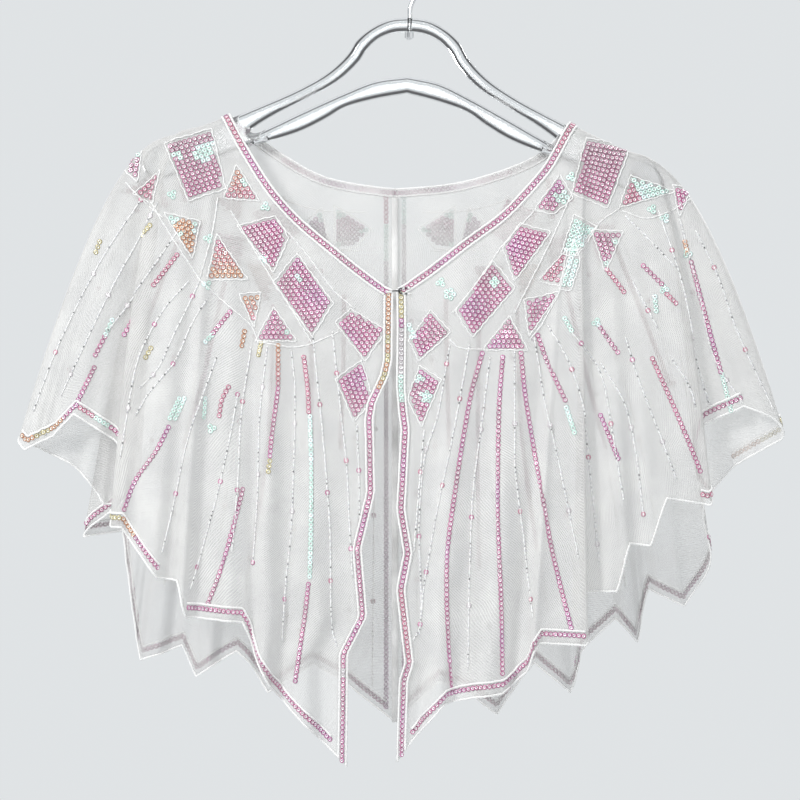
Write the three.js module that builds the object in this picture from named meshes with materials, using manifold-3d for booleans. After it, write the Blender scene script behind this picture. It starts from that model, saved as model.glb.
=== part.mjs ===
// A sheer net capelet in two halves, hung from a clear hanger with a wire hook.
// Millimetres, +X to the viewer's right, -Y towards the viewer, +Z up.
// The origin is the underside of the hook's bend, the point that rests on a rail.
import * as THREE from 'three';
import { mergeVertices } from 'three/addons/utils/BufferGeometryUtils.js';
import Module from 'manifold-3d';

const wasm = await Module();
wasm.setup();

// Driving dimensions
const SEAM_GAP = 0.3;
const CLOTH_WALL = 1.2;
const CLOTH_ROWS = 15;
const RIDGE_DROPS = [0, 1.4, 4.2, 9.5, 24];
const ARM_ROUND = 8.6;
const ARM_FULLNESS = 2.4;
const PLEAT_DEPTH = 5.5;
const PLEAT_GROWTH = 1.25;
const FRONT_LEAN = 6;
const BACK_LEAN = 4;
const NECK_CROWDING = 1.5;
const CENTRE_BACK_X = -8.5;
const BAND = { width: 7, wall: 1.4 };
const BAND_TURN = 22;
const TAPE = { width: 5, wall: 1, clear: 0.7 };

const HANGER = {
  crown: [3.1, -55],
  tilt: THREE.MathUtils.degToRad(2.3),
  thickness: 10,
  bevel: 3,
  seat: 2.4,
  neckReach: { left: 142, right: 133 },
  hookBore: 4.1,
  boreReach: 15,
};
const HOOK = { wire: 3.5, bendRadius: 17, stemFoot: -17, openAt: 200, joinAt: -45 };
const NUT = { outer: 3.4, height: 4.5 };
const CLOSURE = { wire: 1, bar: [-5.4, -17.6, -268.5], bend: 1.4 };

// Mesh counts of the hard pieces: outline steps of half the hanger, sides of bores and of wires.
const OUTLINE_STEPS = { outside: 44, gap: 30 };
const BORE_SIDES = 12;
const WIRE = {
  hook: { sides: 10, steps: 40 },
  closureHook: { sides: 6, steps: 24 },
  eye: { sides: 6, steps: 20 },
};

// Half of the hanger's outline: across from the middle, and down from the top of the crown.
const HANGER_TOP = [
  [0, 0], [15, 2], [29, 9], [40, 19], [47, 30.5], [61, 44.5], [83, 58.5],
  [120, 76.5], [134, 83], [173, 99.5], [187, 103.5], [196, 108.5],
];
const HANGER_TIP = [[202, 116], [203.5, 124], [199, 131], [190, 134.5]];
const HANGER_BOTTOM = [
  [180, 131], [144, 114.5], [118, 104], [98, 98], [80, 91], [62, 81], [48, 72], [25, 64.5], [0, 59],
];
const GAP_TOP = [
  [0, 11], [12, 12.3], [23, 17], [32, 25.5], [38.5, 36], [54, 51.5], [78, 66.5], [100, 78.5], [116, 89],
];
const GAP_END = [[121, 93.5]];
const GAP_BOTTOM = [[117, 95], [103, 88.5], [81, 77], [49, 61], [25, 50.5], [0, 46]];

// Each half hangs in four stretches. Its top edge follows the V of the neck, the hanger's arm in front,
// the same arm behind, and the back of the neck. The counts are mesh columns.
const STRETCH = { vee: 18, arm: 30, nape: 22 };

// The seam lines on which the neck bands are sewn, from the middle to the arm, x and z.
const LEFT_VEE = [
  [-17.4, -272], [-36.6, -258.5], [-60, -239.7], [-84, -219.5], [-96, -207.5], [-109.6, -191], [-127, -164],
];
const RIGHT_VEE = [
  [5.5, -270.5], [25.6, -257], [55.2, -233], [81, -212.5], [101, -190.5], [114.4, -173.5], [129, -147],
];
const LEFT_NAPE = [[CENTRE_BACK_X - SEAM_GAP / 2, -194.5], [-20, -193.5], [-68, -184], [-112, -158.5]];
const RIGHT_NAPE = [[CENTRE_BACK_X + SEAM_GAP / 2, -194.5], [3, -194], [50, -188], [110, -165]];

// A row for each fold or hem corner, from the front opening round to the centre back.
// steps: mesh columns since the row before. x, y, z: where that fold meets the hem.
// arm: -1 in front of the hanger's arm, 1 behind it. spread: below 1, a fold that opens near the shoulder.
// waves: half pleats since the row before. pleat: how deep they are there, of the full depth.
const HEM_COLUMNS = ['steps', 'x', 'y', 'z', 'arm', 'spread', 'waves', 'pleat'];
const LEFT_HEM = named(HEM_COLUMNS, [
  [0, -52.4, -30, -628, -1, 1, 0, 0.7],
  [7, -101, -34, -576, -1, 1, 3, 1],
  [2, -112, -36, -557, -1, 1, 1, 1],
  [3, -126, -34, -524, -1, 1, 1, 1],
  [6, -169, -36, -520, -1, 0.95, 2, 1],
  [2, -176, -35, -492, -1, 0.85, 1, 0.9],
  [2, -191, -36, -490, -1, 0.75, 1, 0.7],
  [4, -219, -33, -451, -1, 0.55, 2, 0.4],
  [2, -228, -28, -451, -1, 0.4, 0, 0],
  [2, -222, -21, -436, -1, 0.4, 0, 0],
  [3, -206, -13, -411, -1, 0.45, 0, 0],
  [3, -227, -7, -384, -1, 0.55, 0, 0],
  [4, -258, -12, -364, -1, 0.75, 1, 0.5],
  [2, -274, -8, -381, -1, 0.75, 0, 0.3],
  [4, -297, -4, -392, -0.8, 0.7, 1, 0.1],
  [2, -302, 4, -382, 0, 0.68, 0, 0],
  [2, -286, 8, -391, 0.8, 0.7, 0, 0],
  [2, -260, 11, -405, 1, 0.7, 0, 0.2],
  [4, -237, 15, -435, 1, 0.65, 0, 0.1],
  [4, -227, 23, -434, 1, 0.6, 0, 0],
  [4, -255, 35, -462, 1, 0.65, 0, 0],
  [4, -225, 44, -457, 1, 0.65, 0, 0.1],
  [1, -222, 44, -481, 1, 0.75, 0, 0.2],
  [3, -216, 42, -524, 1, 0.8, 1, 0.4],
  [3, -210, 40, -559, 1, 0.9, 1, 0.7],
  [3, -191, 36, -553, 1, 1, 1, 0.9],
  [2, -177, 37, -547, 1, 1, 1, 1],
  [2, -166, 36, -572, 1, 1, 0, 1],
  [3, -146, 37, -559, 1, 1, 1, 1],
  [1, -134, 37, -552, 1, 1, 0, 1],
  [1, -124, 37, -561, 1, 1, 0, 1],
  [2, -109, 36, -585, 1, 1, 1, 1],
  [1, -99, 36, -578, 1, 1, 0, 1],
  [3, -74, 37, -562, 1, 1, 1, 1],
  [3, -47, 37, -577, 1, 1, 1, 0.8],
  [4, CENTRE_BACK_X - SEAM_GAP / 2, 38, -608, 1, 1, 1, 0],
]);
const RIGHT_HEM = named(HEM_COLUMNS, [
  [0, 0.8, -31, -622, -1, 1, 0, 0.7],
  [5, 30, -35, -587, -1, 1, 2, 1],
  [3, 52, -34, -582, -1, 1, 1, 1],
  [3, 74, -35, -579, -1, 1, 1, 1],
  [3, 93, -34, -562, -1, 1, 1, 1],
  [2, 103, -35, -540, -1, 1, 1, 0.8],
  [2, 138, -34, -542, -1, 0.9, 0, 0.2],
  [2, 135, -27, -531, -1, 0.75, 0, 0],
  [2, 128, -19, -524, -1, 0.75, 0, 0],
  [2, 140, -12, -502, -1, 0.75, 0, 0],
  [3, 163, -20, -501, -1, 0.85, 1, 0.5],
  [2, 173, -20, -464, -1, 0.8, 1, 0.5],
  [2, 189, -21, -466, -1, 0.75, 1, 0.5],
  [2, 202, -19, -429, -1, 0.65, 1, 0.4],
  [4, 236, -15, -435, -1, 0.5, 0, 0.1],
  [2, 233, -9, -426, -1, 0.5, 0, 0],
  [1, 226, -5, -415, -1, 0.5, 0, 0],
  [2, 230, -2, -374, -1, 0.55, 0, 0],
  [2, 263, -7, -358, -1, 0.68, 1, 0.4],
  [2, 287, -4, -368, -0.8, 0.66, 0, 0.1],
  [2, 295, 4, -382, 0, 0.64, 0, 0],
  [2, 281, 9, -391, 0.8, 0.66, 0, 0],
  [4, 257, 14, -405, 1, 0.7, 1, 0.4],
  [4, 234, 19, -436, 1, 0.7, 0, 0.2],
  [3, 240, 26, -482, 1, 0.7, 0, 0.2],
  [3, 220, 30, -516, 1, 0.8, 1, 0.5],
  [4, 192, 34, -502, 1, 0.9, 1, 0.8],
  [3, 183, 36, -545, 1, 0.95, 1, 1],
  [3, 166, 37, -526, 1, 1, 1, 1],
  [4, 139, 37, -552, 1, 1, 1, 1],
  [1, 137, 37, -561, 1, 1, 0, 1],
  [2, 130, 38, -585, 1, 1, 0, 1],
  [3, 102, 37, -561, 1, 1, 1, 1],
  [4, 72, 38, -602, 1, 1, 1, 1],
  [3, 52, 37, -586, 1, 1, 1, 1],
  [4, 26, 38, -576, 1, 1, 1, 0.8],
  [5, CENTRE_BACK_X + SEAM_GAP / 2, 38, -608, 1, 1, 1, 0],
]);

// How far the front bands reach past the cloth's edge at the V and at the tip, x and z.
const FRONT_BAND = {
  left: { vee: [7.4, 3.7], tip: [7, -7.6] },
  right: { vee: [-7, 3.7], tip: [-7, -9.9] },
};

const COLOURS = {
  net: { color: 0xeef0f0, roughness: 0.75, metalness: 0 },
  band: { color: 0xe9d3de, roughness: 0.5, metalness: 0 },
  tape: { color: 0xf7f7f5, roughness: 0.8, metalness: 0 },
  clear: { color: 0xdfe6ea, roughness: 0.05, metalness: 0 },
  steel: { color: 0xc4c7ca, roughness: 0.2, metalness: 1 },
  blackened: { color: 0x33353a, roughness: 0.35, metalness: 1 },
};

function named(columns, rows) {
  return rows.map((row) => Object.fromEntries(columns.map((column, index) => [column, row[index]])));
}

function mesh(name, geometry, look) {
  const part = new THREE.Mesh(geometry, new THREE.MeshStandardMaterial(look));
  part.name = name;
  return part;
}

// A closed body from its points and faces, turned so that its faces point out.
function body(points, faces) {
  let volume = 0;
  for (const [a, b, c] of faces) {
    volume += points[a].dot(new THREE.Vector3().crossVectors(points[b], points[c]));
  }
  const outward = volume > 0 ? faces : faces.map(([a, b, c]) => [a, c, b]);
  const geometry = new THREE.BufferGeometry();
  geometry.setAttribute('position', new THREE.Float32BufferAttribute(points.flatMap((p) => p.toArray()), 3));
  geometry.setIndex(outward.flat());
  return geometry;
}

// The hanger's own plane, across and down from its crown, to the part's x and z.
function fromHanger(across, down) {
  const { crown, tilt } = HANGER;
  return [
    crown[0] + across * Math.cos(tilt) - down * Math.sin(tilt),
    crown[1] - across * Math.sin(tilt) - down * Math.cos(tilt),
  ];
}

function curveThrough(points) {
  return new THREE.CatmullRomCurve3(points.map(([x, z]) => new THREE.Vector3(x, 0, z)), false, 'centripetal');
}

// The line on which the cloth lies over one arm, from the neck out to the arm's tip.
function armLine(side) {
  const reach = [...HANGER_TOP.filter(([across]) => across > 100), HANGER_TIP[0]];
  const top = curveThrough(reach);
  const samples = 60;
  const line = [];
  for (let index = 0; index <= samples; index += 1) {
    const at = top.getPointAt(index / samples);
    const along = top.getTangentAt(index / samples);
    const across = at.x + along.z * HANGER.seat;
    const down = at.z - along.x * HANGER.seat;
    if (across >= (side < 0 ? HANGER.neckReach.left : HANGER.neckReach.right)) {
      line.push(fromHanger(side * across, down));
    }
  }
  return curveThrough(line);
}

// A value of the hem table between its rows: straight for z, smooth for the rest.
function hemValue(table, name, column) {
  const starts = [];
  let total = 0;
  for (const row of table) {
    total += row.steps;
    starts.push(total);
  }
  let row = 0;
  while (row < table.length - 2 && column > starts[row + 1]) {
    row += 1;
  }
  const width = starts[row + 1] - starts[row];
  const t = (column - starts[row]) / width;
  const from = table[row][name];
  const to = table[row + 1][name];
  if (name === 'z' || name === 'arm') {
    return from + (to - from) * t;
  }
  const slopeAt = (index) => {
    const low = Math.max(index - 1, 0);
    const high = Math.min(index + 1, table.length - 1);
    return (table[high][name] - table[low][name]) / (starts[high] - starts[low]);
  };
  const leave = slopeAt(row) * width;
  const arrive = slopeAt(row + 1) * width;
  const square = t * t;
  const cube = square * t;
  return (2 * cube - 3 * square + 1) * from + (cube - 2 * square + t) * leave
    + (3 * square - 2 * cube) * to + (cube - square) * arrive;
}

function pleatPhase(table, column) {
  let start = 0;
  let phase = 0;
  for (const row of table) {
    if (row.steps > 0) {
      const share = Math.min(Math.max((column - start) / row.steps, 0), 1);
      phase += share * row.waves * Math.PI;
      start += row.steps;
    }
  }
  return phase;
}

// How far the cloth stands off the middle of the arm at a drop below its ridge, of the full round.
function armShape(drop) {
  const inside = Math.max(1 - drop / ARM_ROUND, 0);
  return (1 - inside ** ARM_FULLNESS) ** (1 / ARM_FULLNESS);
}

// The share of a column's height at which a row lies: close together over the arm, then even to the hem.
function rowPlace(row, height) {
  const last = RIDGE_DROPS.length - 1;
  if (row <= last) {
    return RIDGE_DROPS[row] / height;
  }
  const start = RIDGE_DROPS[last] / height;
  return start + (1 - start) * (row - last) / (CLOTH_ROWS - last);
}

// One half of the capelet as a sheet without thickness: its columns run from the neck to the hem.
function clothSheet({ side, vee, nape, hem }) {
  const arm = armLine(side);
  const neckSide = arm.getPointAt(0);
  const veeLine = curveThrough([...vee, [neckSide.x, neckSide.z]]);
  const napeLine = curveThrough([...nape, [neckSide.x, neckSide.z]]);
  const total = STRETCH.vee + 2 * STRETCH.arm + STRETCH.nape;

  const topPoint = (column) => {
    if (column <= STRETCH.vee) {
      return veeLine.getPointAt(1 - (1 - column / STRETCH.vee) ** NECK_CROWDING);
    }
    if (column <= STRETCH.vee + STRETCH.arm) {
      return arm.getPointAt((column - STRETCH.vee) / STRETCH.arm);
    }
    if (column <= STRETCH.vee + 2 * STRETCH.arm) {
      return arm.getPointAt(1 - (column - STRETCH.vee - STRETCH.arm) / STRETCH.arm);
    }
    const along = (column - STRETCH.vee - 2 * STRETCH.arm) / STRETCH.nape;
    return napeLine.getPointAt(1 - along ** NECK_CROWDING);
  };

  const pointAt = (column, row) => {
    const top = topPoint(column);
    const v = rowPlace(row, top.z - hemValue(hem, 'z', column));
    const overArm = column >= STRETCH.vee && column <= total - STRETCH.nape;
    const ridge = overArm ? top.z : neckSide.z;
    const turn = hemValue(hem, 'arm', column);
    const spread = hemValue(hem, 'spread', column);
    const opened = v ** spread;
    const z = top.z + (hemValue(hem, 'z', column) - top.z) * v;
    const x = top.x + (hemValue(hem, 'x', column) - top.x) * opened;
    const drop = ridge - z;
    const round = turn * ARM_ROUND;
    const below = (ridge - top.z) / (neckSide.z - (turn < 0 ? vee : nape)[0][1]);
    const lean = (turn < 0 ? -FRONT_LEAN : BACK_LEAN) * below;
    const phase = pleatPhase(hem, column);
    const growth = (drop / (ridge - hemValue(hem, 'z', column))) ** PLEAT_GROWTH;
    const pleat = PLEAT_DEPTH * hemValue(hem, 'pleat', column) * Math.sin(phase) * growth;
    const y = round * armShape(drop) + lean * (1 - opened)
      + (hemValue(hem, 'y', column) - round) * opened + pleat;
    return new THREE.Vector3(x, y, z);
  };
  return { side, total, pointAt, away: arm.getTangentAt(0).negate() };
}

// The sheet's grid. The two columns that meet on the arm's ridge share their points.
function clothGrid(sheet) {
  const points = [];
  const index = [];
  const ridgeStart = STRETCH.vee;
  const ridgeEnd = sheet.total - STRETCH.nape;
  for (let column = 0; column <= sheet.total; column += 1) {
    index.push([]);
    const mirror = ridgeStart + ridgeEnd - column;
    for (let row = 0; row <= CLOTH_ROWS; row += 1) {
      if (row === 0 && column > ridgeStart + STRETCH.arm && column <= ridgeEnd) {
        index[column].push(index[mirror][0]);
      } else {
        index[column].push(points.length);
        points.push(sheet.pointAt(column, row));
      }
    }
  }
  const faces = [];
  for (let column = 0; column < sheet.total; column += 1) {
    for (let row = 0; row < CLOTH_ROWS; row += 1) {
      const [a, b] = [index[column][row], index[column + 1][row]];
      const [c, d] = [index[column + 1][row + 1], index[column][row + 1]];
      faces.push([a, b, c], [a, c, d]);
    }
  }
  const normals = points.map(() => new THREE.Vector3());
  for (const [a, b, c] of faces) {
    const area = new THREE.Vector3().subVectors(points[b], points[a])
      .cross(new THREE.Vector3().subVectors(points[c], points[a]));
    normals[a].add(area);
    normals[b].add(area);
    normals[c].add(area);
  }
  normals.forEach((normal) => normal.normalize().multiplyScalar(-sheet.side));
  for (const at of index[sheet.total]) {
    normals[at].set(0, 1, 0);
  }
  return { points, index, faces, normals };
}

// A wall of even thickness on both sides of the grid, closed along its edges.
function clothWall({ points, faces, normals }) {
  const moved = (reach) => points.map((point, at) => point.clone().addScaledVector(normals[at], reach));
  const solid = [...moved(CLOTH_WALL / 2), ...moved(-CLOTH_WALL / 2)];
  const inner = points.length;
  const closed = [];
  const edges = new Map();
  for (const [a, b, c] of faces) {
    closed.push([a, b, c], [a + inner, c + inner, b + inner]);
    for (const [from, to] of [[a, b], [b, c], [c, a]]) {
      const back = `${to},${from}`;
      if (edges.has(back)) {
        edges.delete(back);
      } else {
        edges.set(`${from},${to}`, [from, to]);
      }
    }
  }
  for (const [from, to] of edges.values()) {
    closed.push([to, from, from + inner], [to, from + inner, to + inner]);
  }
  return body(solid, closed);
}

// A flat strip along a line: at each point it runs from `near` to `far` and is `wall` thick along the normal.
function strip(sections, wall) {
  const points = [];
  const faces = [];
  for (const { near, far, normal } of sections) {
    const half = normal.clone().multiplyScalar(wall / 2);
    points.push(near.clone().add(half), far.clone().add(half), far.clone().sub(half), near.clone().sub(half));
  }
  const last = points.length - 4;
  for (let at = 0; at < last; at += 4) {
    for (let side = 0; side < 4; side += 1) {
      const next = (side + 1) % 4;
      faces.push([at + side, at + 4 + side, at + 4 + next], [at + side, at + 4 + next, at + next]);
    }
  }
  faces.push([0, 1, 2], [0, 2, 3], [last, last + 2, last + 1], [last, last + 3, last + 2]);
  return body(points, faces);
}

// The band sewn round the neck edge, made from the cloth's edge points moved outward by its width.
function neckBand(sheet, grid) {
  const columns = [];
  for (let column = 0; column <= STRETCH.vee; column += 1) {
    columns.push(column);
  }
  for (let column = sheet.total - STRETCH.nape + 1; column <= sheet.total; column += 1) {
    columns.push(column);
  }
  const ids = columns.map((column) => grid.index[column][0]);
  const edge = ids.map((id) => grid.points[id]);
  const neckTop = edge[STRETCH.vee].z;
  const mitre = FRONT_BAND[sheet.side < 0 ? 'left' : 'right'].vee;
  const sections = edge.map((point, at) => {
    const before = edge[Math.max(at - 1, 0)];
    const after = edge[Math.min(at + 1, edge.length - 1)];
    const along = new THREE.Vector3().subVectors(after, before).normalize();
    const normal = grid.normals[ids[at]];
    const overArm = Math.max(1 - (neckTop - point.z) / BAND_TURN, 0);
    let away = new THREE.Vector3().crossVectors(along, normal).multiplyScalar(-sheet.side).normalize();
    away.lerp(sheet.away, overArm).normalize();
    let start = point;
    if (at === 0) {
      away = new THREE.Vector3(mitre[0], 0, mitre[1]).divideScalar(BAND.width);
      start = point.clone().addScaledVector(along, 2 * SEAM_GAP);
    }
    if (at === edge.length - 1) {
      away = new THREE.Vector3(0, 0, 1);
    }
    return {
      near: start.clone().addScaledVector(away, SEAM_GAP),
      far: start.clone().addScaledVector(away, BAND.width),
      normal,
    };
  });
  return strip(sections, BAND.wall);
}

// The band down one edge of the front opening, mitred at the V and cut to the point of the hem.
function frontBand(sheet, grid) {
  const { vee, tip } = FRONT_BAND[sheet.side < 0 ? 'left' : 'right'];
  const sections = grid.index[0].map((id, row) => {
    let reach = [-sheet.side * BAND.width, 0];
    if (row === 0) {
      reach = vee;
    }
    if (row === CLOTH_ROWS) {
      reach = tip;
    }
    const away = new THREE.Vector3(reach[0], 0, reach[1]);
    return {
      near: grid.points[id].clone().addScaledVector(away, SEAM_GAP / away.length()),
      far: grid.points[id].clone().add(away),
      normal: grid.normals[id],
    };
  });
  return strip(sections, BAND.wall);
}

// The tape inside the centre-back seam, made from the seam's points moved in.
function centreBackTape(grid) {
  const inward = CLOTH_WALL / 2 + TAPE.clear + TAPE.wall / 2;
  const normal = new THREE.Vector3(0, -1, 0);
  const sections = grid.index[grid.index.length - 1].map((id) => {
    const middle = new THREE.Vector3(CENTRE_BACK_X, grid.points[id].y - inward, grid.points[id].z);
    return {
      near: middle.clone().setX(CENTRE_BACK_X - TAPE.width / 2),
      far: middle.clone().setX(CENTRE_BACK_X + TAPE.width / 2),
      normal,
    };
  });
  return strip(sections, TAPE.wall);
}

function solidOf(geometry) {
  geometry.deleteAttribute('normal');
  geometry.deleteAttribute('uv');
  const merged = mergeVertices(geometry, 1e-4);
  return new wasm.Manifold(new wasm.Mesh({
    numProp: 3,
    vertProperties: merged.attributes.position.array,
    triVerts: new Uint32Array(merged.index.array),
  }));
}

function geometryOf(solid) {
  const result = solid.getMesh();
  const geometry = new THREE.BufferGeometry();
  geometry.setAttribute('position', new THREE.BufferAttribute(new Float32Array(result.vertProperties), 3));
  geometry.setIndex(new THREE.BufferAttribute(new Uint32Array(result.triVerts), 1));
  return geometry;
}

// A closed outline from half of it, in the plane of the hanger with its crown at the top.
function mirroredOutline(half, samples) {
  const right = curveThrough(half).getPoints(samples).map((p) => new THREE.Vector2(p.x, -p.z));
  const left = right.slice(1, -1).reverse().map((p) => new THREE.Vector2(-p.x, p.y));
  return [...right, ...left];
}

function hangerBody() {
  const outside = mirroredOutline([...HANGER_TOP, ...HANGER_TIP, ...HANGER_BOTTOM], OUTLINE_STEPS.outside);
  const gap = mirroredOutline([...GAP_TOP, ...GAP_END, ...GAP_BOTTOM], OUTLINE_STEPS.gap);
  const outline = new THREE.Shape(outside.reverse());
  outline.holes.push(new THREE.Path(gap));
  const rails = new THREE.ExtrudeGeometry(outline, {
    depth: HANGER.thickness - 2 * HANGER.bevel,
    bevelEnabled: true,
    bevelSize: HANGER.bevel,
    bevelOffset: -HANGER.bevel,
    bevelThickness: HANGER.bevel,
    bevelSegments: 2,
    curveSegments: 1,
  });
  rails.translate(0, 0, HANGER.bevel - HANGER.thickness / 2);
  rails.rotateX(Math.PI / 2);
  const radius = HANGER.hookBore / 2;
  const bore = new THREE.CylinderGeometry(radius, radius, 2 * HANGER.boreReach, BORE_SIDES);
  bore.rotateX(Math.PI / 2);
  return geometryOf(solidOf(rails).subtract(solidOf(bore)));
}

// The wire hook in the hanger's plane: a straight stem, a sweep to one side and a round bend.
function hookWire() {
  const { wire, bendRadius, stemFoot, openAt, joinAt } = HOOK;
  const { crown, tilt } = HANGER;
  const restAcross = -crown[0] * Math.cos(tilt) + crown[1] * Math.sin(tilt);
  const restUp = -crown[0] * Math.sin(tilt) - crown[1] * Math.cos(tilt);
  const radius = bendRadius + wire / 2;
  const centreUp = restUp - bendRadius;
  const route = [[0, stemFoot], [0, -8], [0, 0], [0, 8]];
  const turns = 14;
  for (let turn = 0; turn <= turns; turn += 1) {
    const angle = THREE.MathUtils.degToRad(joinAt + (openAt - joinAt) * turn / turns);
    route.push([restAcross + radius * Math.cos(angle), centreUp + radius * Math.sin(angle)]);
  }
  return sweep(route.map(([x, z]) => new THREE.Vector3(x, 0, z)), wire / 2, WIRE.hook);
}

function sweep(route, radius, { sides, steps }) {
  const section = new THREE.Shape();
  section.absarc(0, 0, radius, 0, 2 * Math.PI, false);
  return new THREE.ExtrudeGeometry(section, {
    steps,
    curveSegments: sides / 2,
    extrudePath: new THREE.CatmullRomCurve3(route, false, 'centripetal'),
  });
}

// The nut that holds the stem under the crown.
function hookNut() {
  const top = -GAP_TOP[0][1] - SEAM_GAP;
  const inner = HANGER.hookBore / 2;
  const profile = [
    [inner, top - NUT.height], [NUT.outer, top - NUT.height], [NUT.outer, top], [inner, top],
    [inner, top - NUT.height],
  ];
  const nut = new THREE.LatheGeometry(profile.map(([r, h]) => new THREE.Vector2(r, h)), BORE_SIDES);
  nut.rotateX(Math.PI / 2);
  return nut;
}

// A route given from the middle of the eye's bar.
function fromBar(route) {
  const bar = new THREE.Vector3(...CLOSURE.bar);
  return route.map((point) => new THREE.Vector3(...point).add(bar));
}

// The hook on the left band: its shank lies on the band and its bill turns round the eye's bar.
function closureHook() {
  const { wire, bend } = CLOSURE;
  const route = [[-9.5, bend, -1.6], [-7, bend, -0.6], [-4, bend, 0], [-1, bend, 0]];
  const turns = 6;
  for (let turn = 0; turn <= turns; turn += 1) {
    const angle = Math.PI * (0.5 - turn / turns);
    route.push([bend * Math.cos(angle), bend * Math.sin(angle), 0]);
  }
  route.push([-2.6, -bend, 0]);
  return sweep(fromBar(route), wire / 2, WIRE.closureHook);
}

// The eye on the right band: a loop of wire whose bar the hook holds.
function closureEye() {
  const { wire, bend } = CLOSURE;
  const upper = [[8.2, bend, 2.2], [5, bend, 2.3], [1.8, 0.7, 2.1], [0.3, 0.1, 1.4]];
  const lower = upper.map(([x, y, z]) => [x, y, -z]).reverse();
  const route = [...upper, [0, 0, 0], ...lower];
  return sweep(fromBar(route), wire / 2, WIRE.eye);
}

function hanger() {
  const group = new THREE.Group();
  group.position.set(HANGER.crown[0], 0, HANGER.crown[1]);
  group.rotation.y = HANGER.tilt;
  group.add(
    mesh('hanger_body', hangerBody(), COLOURS.clear),
    mesh('hanger_hook', hookWire(), COLOURS.steel),
    mesh('hanger_nut', hookNut(), COLOURS.steel),
  );
  return group;
}

function capelet() {
  const group = new THREE.Group();
  const halves = [
    { name: 'left', side: -1, vee: LEFT_VEE, nape: LEFT_NAPE, hem: LEFT_HEM },
    { name: 'right', side: 1, vee: RIGHT_VEE, nape: RIGHT_NAPE, hem: RIGHT_HEM },
  ];
  for (const half of halves) {
    const sheet = clothSheet(half);
    const grid = clothGrid(sheet);
    group.add(
      mesh(`cloth_${half.name}`, clothWall(grid), COLOURS.net),
      mesh(`neck_band_${half.name}`, neckBand(sheet, grid), COLOURS.band),
      mesh(`front_band_${half.name}`, frontBand(sheet, grid), COLOURS.band),
    );
    if (half.side < 0) {
      group.add(mesh('centre_back_tape', centreBackTape(grid), COLOURS.tape));
    }
  }
  group.add(
    mesh('closure_hook', closureHook(), COLOURS.blackened),
    mesh('closure_eye', closureEye(), COLOURS.blackened),
  );
  return group;
}

const root = new THREE.Group();
root.add(capelet(), hanger());

export default root;
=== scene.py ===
import logging
import math
import random
from dataclasses import dataclass, field
from enum import Enum

import bmesh
import bpy
import numpy as np
from mathutils import Matrix, Vector
from mathutils.bvhtree import BVHTree


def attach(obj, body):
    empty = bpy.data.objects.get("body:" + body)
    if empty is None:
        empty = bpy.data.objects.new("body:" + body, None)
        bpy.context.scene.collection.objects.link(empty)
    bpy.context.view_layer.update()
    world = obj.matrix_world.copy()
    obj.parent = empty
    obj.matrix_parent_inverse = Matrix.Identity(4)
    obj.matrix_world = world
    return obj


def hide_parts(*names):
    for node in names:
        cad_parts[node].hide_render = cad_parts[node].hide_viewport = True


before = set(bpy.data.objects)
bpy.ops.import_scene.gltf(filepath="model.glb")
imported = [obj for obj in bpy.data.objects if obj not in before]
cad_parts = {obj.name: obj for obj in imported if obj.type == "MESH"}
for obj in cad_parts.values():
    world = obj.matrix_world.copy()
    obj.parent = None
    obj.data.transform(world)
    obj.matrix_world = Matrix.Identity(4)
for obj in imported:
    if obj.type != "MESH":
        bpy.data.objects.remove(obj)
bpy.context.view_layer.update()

LOG = logging.getLogger("capelet")
MM = 0.001
BODY = "root"
Point = tuple[float, float]


class Side(Enum):
    """The two halves of the capelet, as the viewer of the front sees them."""

    LEFT = -1
    RIGHT = 1

    @property
    def word(self) -> str:
        """The half's name in piece names."""
        return self.name.lower()


class Face(Enum):
    """The side from which decoration is laid on the cloth."""

    FRONT = 1
    BACK = -1


# Pattern sizes in millimetres, the same as the solids'.
SEAM_GAP = 0.3
ARM_ROUND = 8.6
ARM_FULLNESS = 2.4
PLEAT_DEPTH = 5.5
PLEAT_GROWTH = 1.25
FRONT_LEAN = 6.0
BACK_LEAN = 4.0
NECK_CROWDING = 1.5
CENTRE_BACK_X = -8.5
CLOSURE_WIRE = 1.0
CLOSURE_BAR = (-5.4, -17.6, -268.5)
CLOSURE_BEND = 1.4
# The wires that are sewn down: the half, where the stitches start and end from the bar, and their height.
STITCHED_WIRES = (
    ("left", -9.4, -5.0, -0.8), ("right", 1.8, 4.4, 2.1), ("right", 1.8, 4.4, -2.1),
    ("right", 7.0, 8.2, 2.25), ("right", 7.0, 8.2, -2.25),
)
STRETCH_VEE = 18
STRETCH_ARM = 30
STRETCH_NAPE = 22
STRETCH_TOTAL = STRETCH_VEE + 2 * STRETCH_ARM + STRETCH_NAPE

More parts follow.
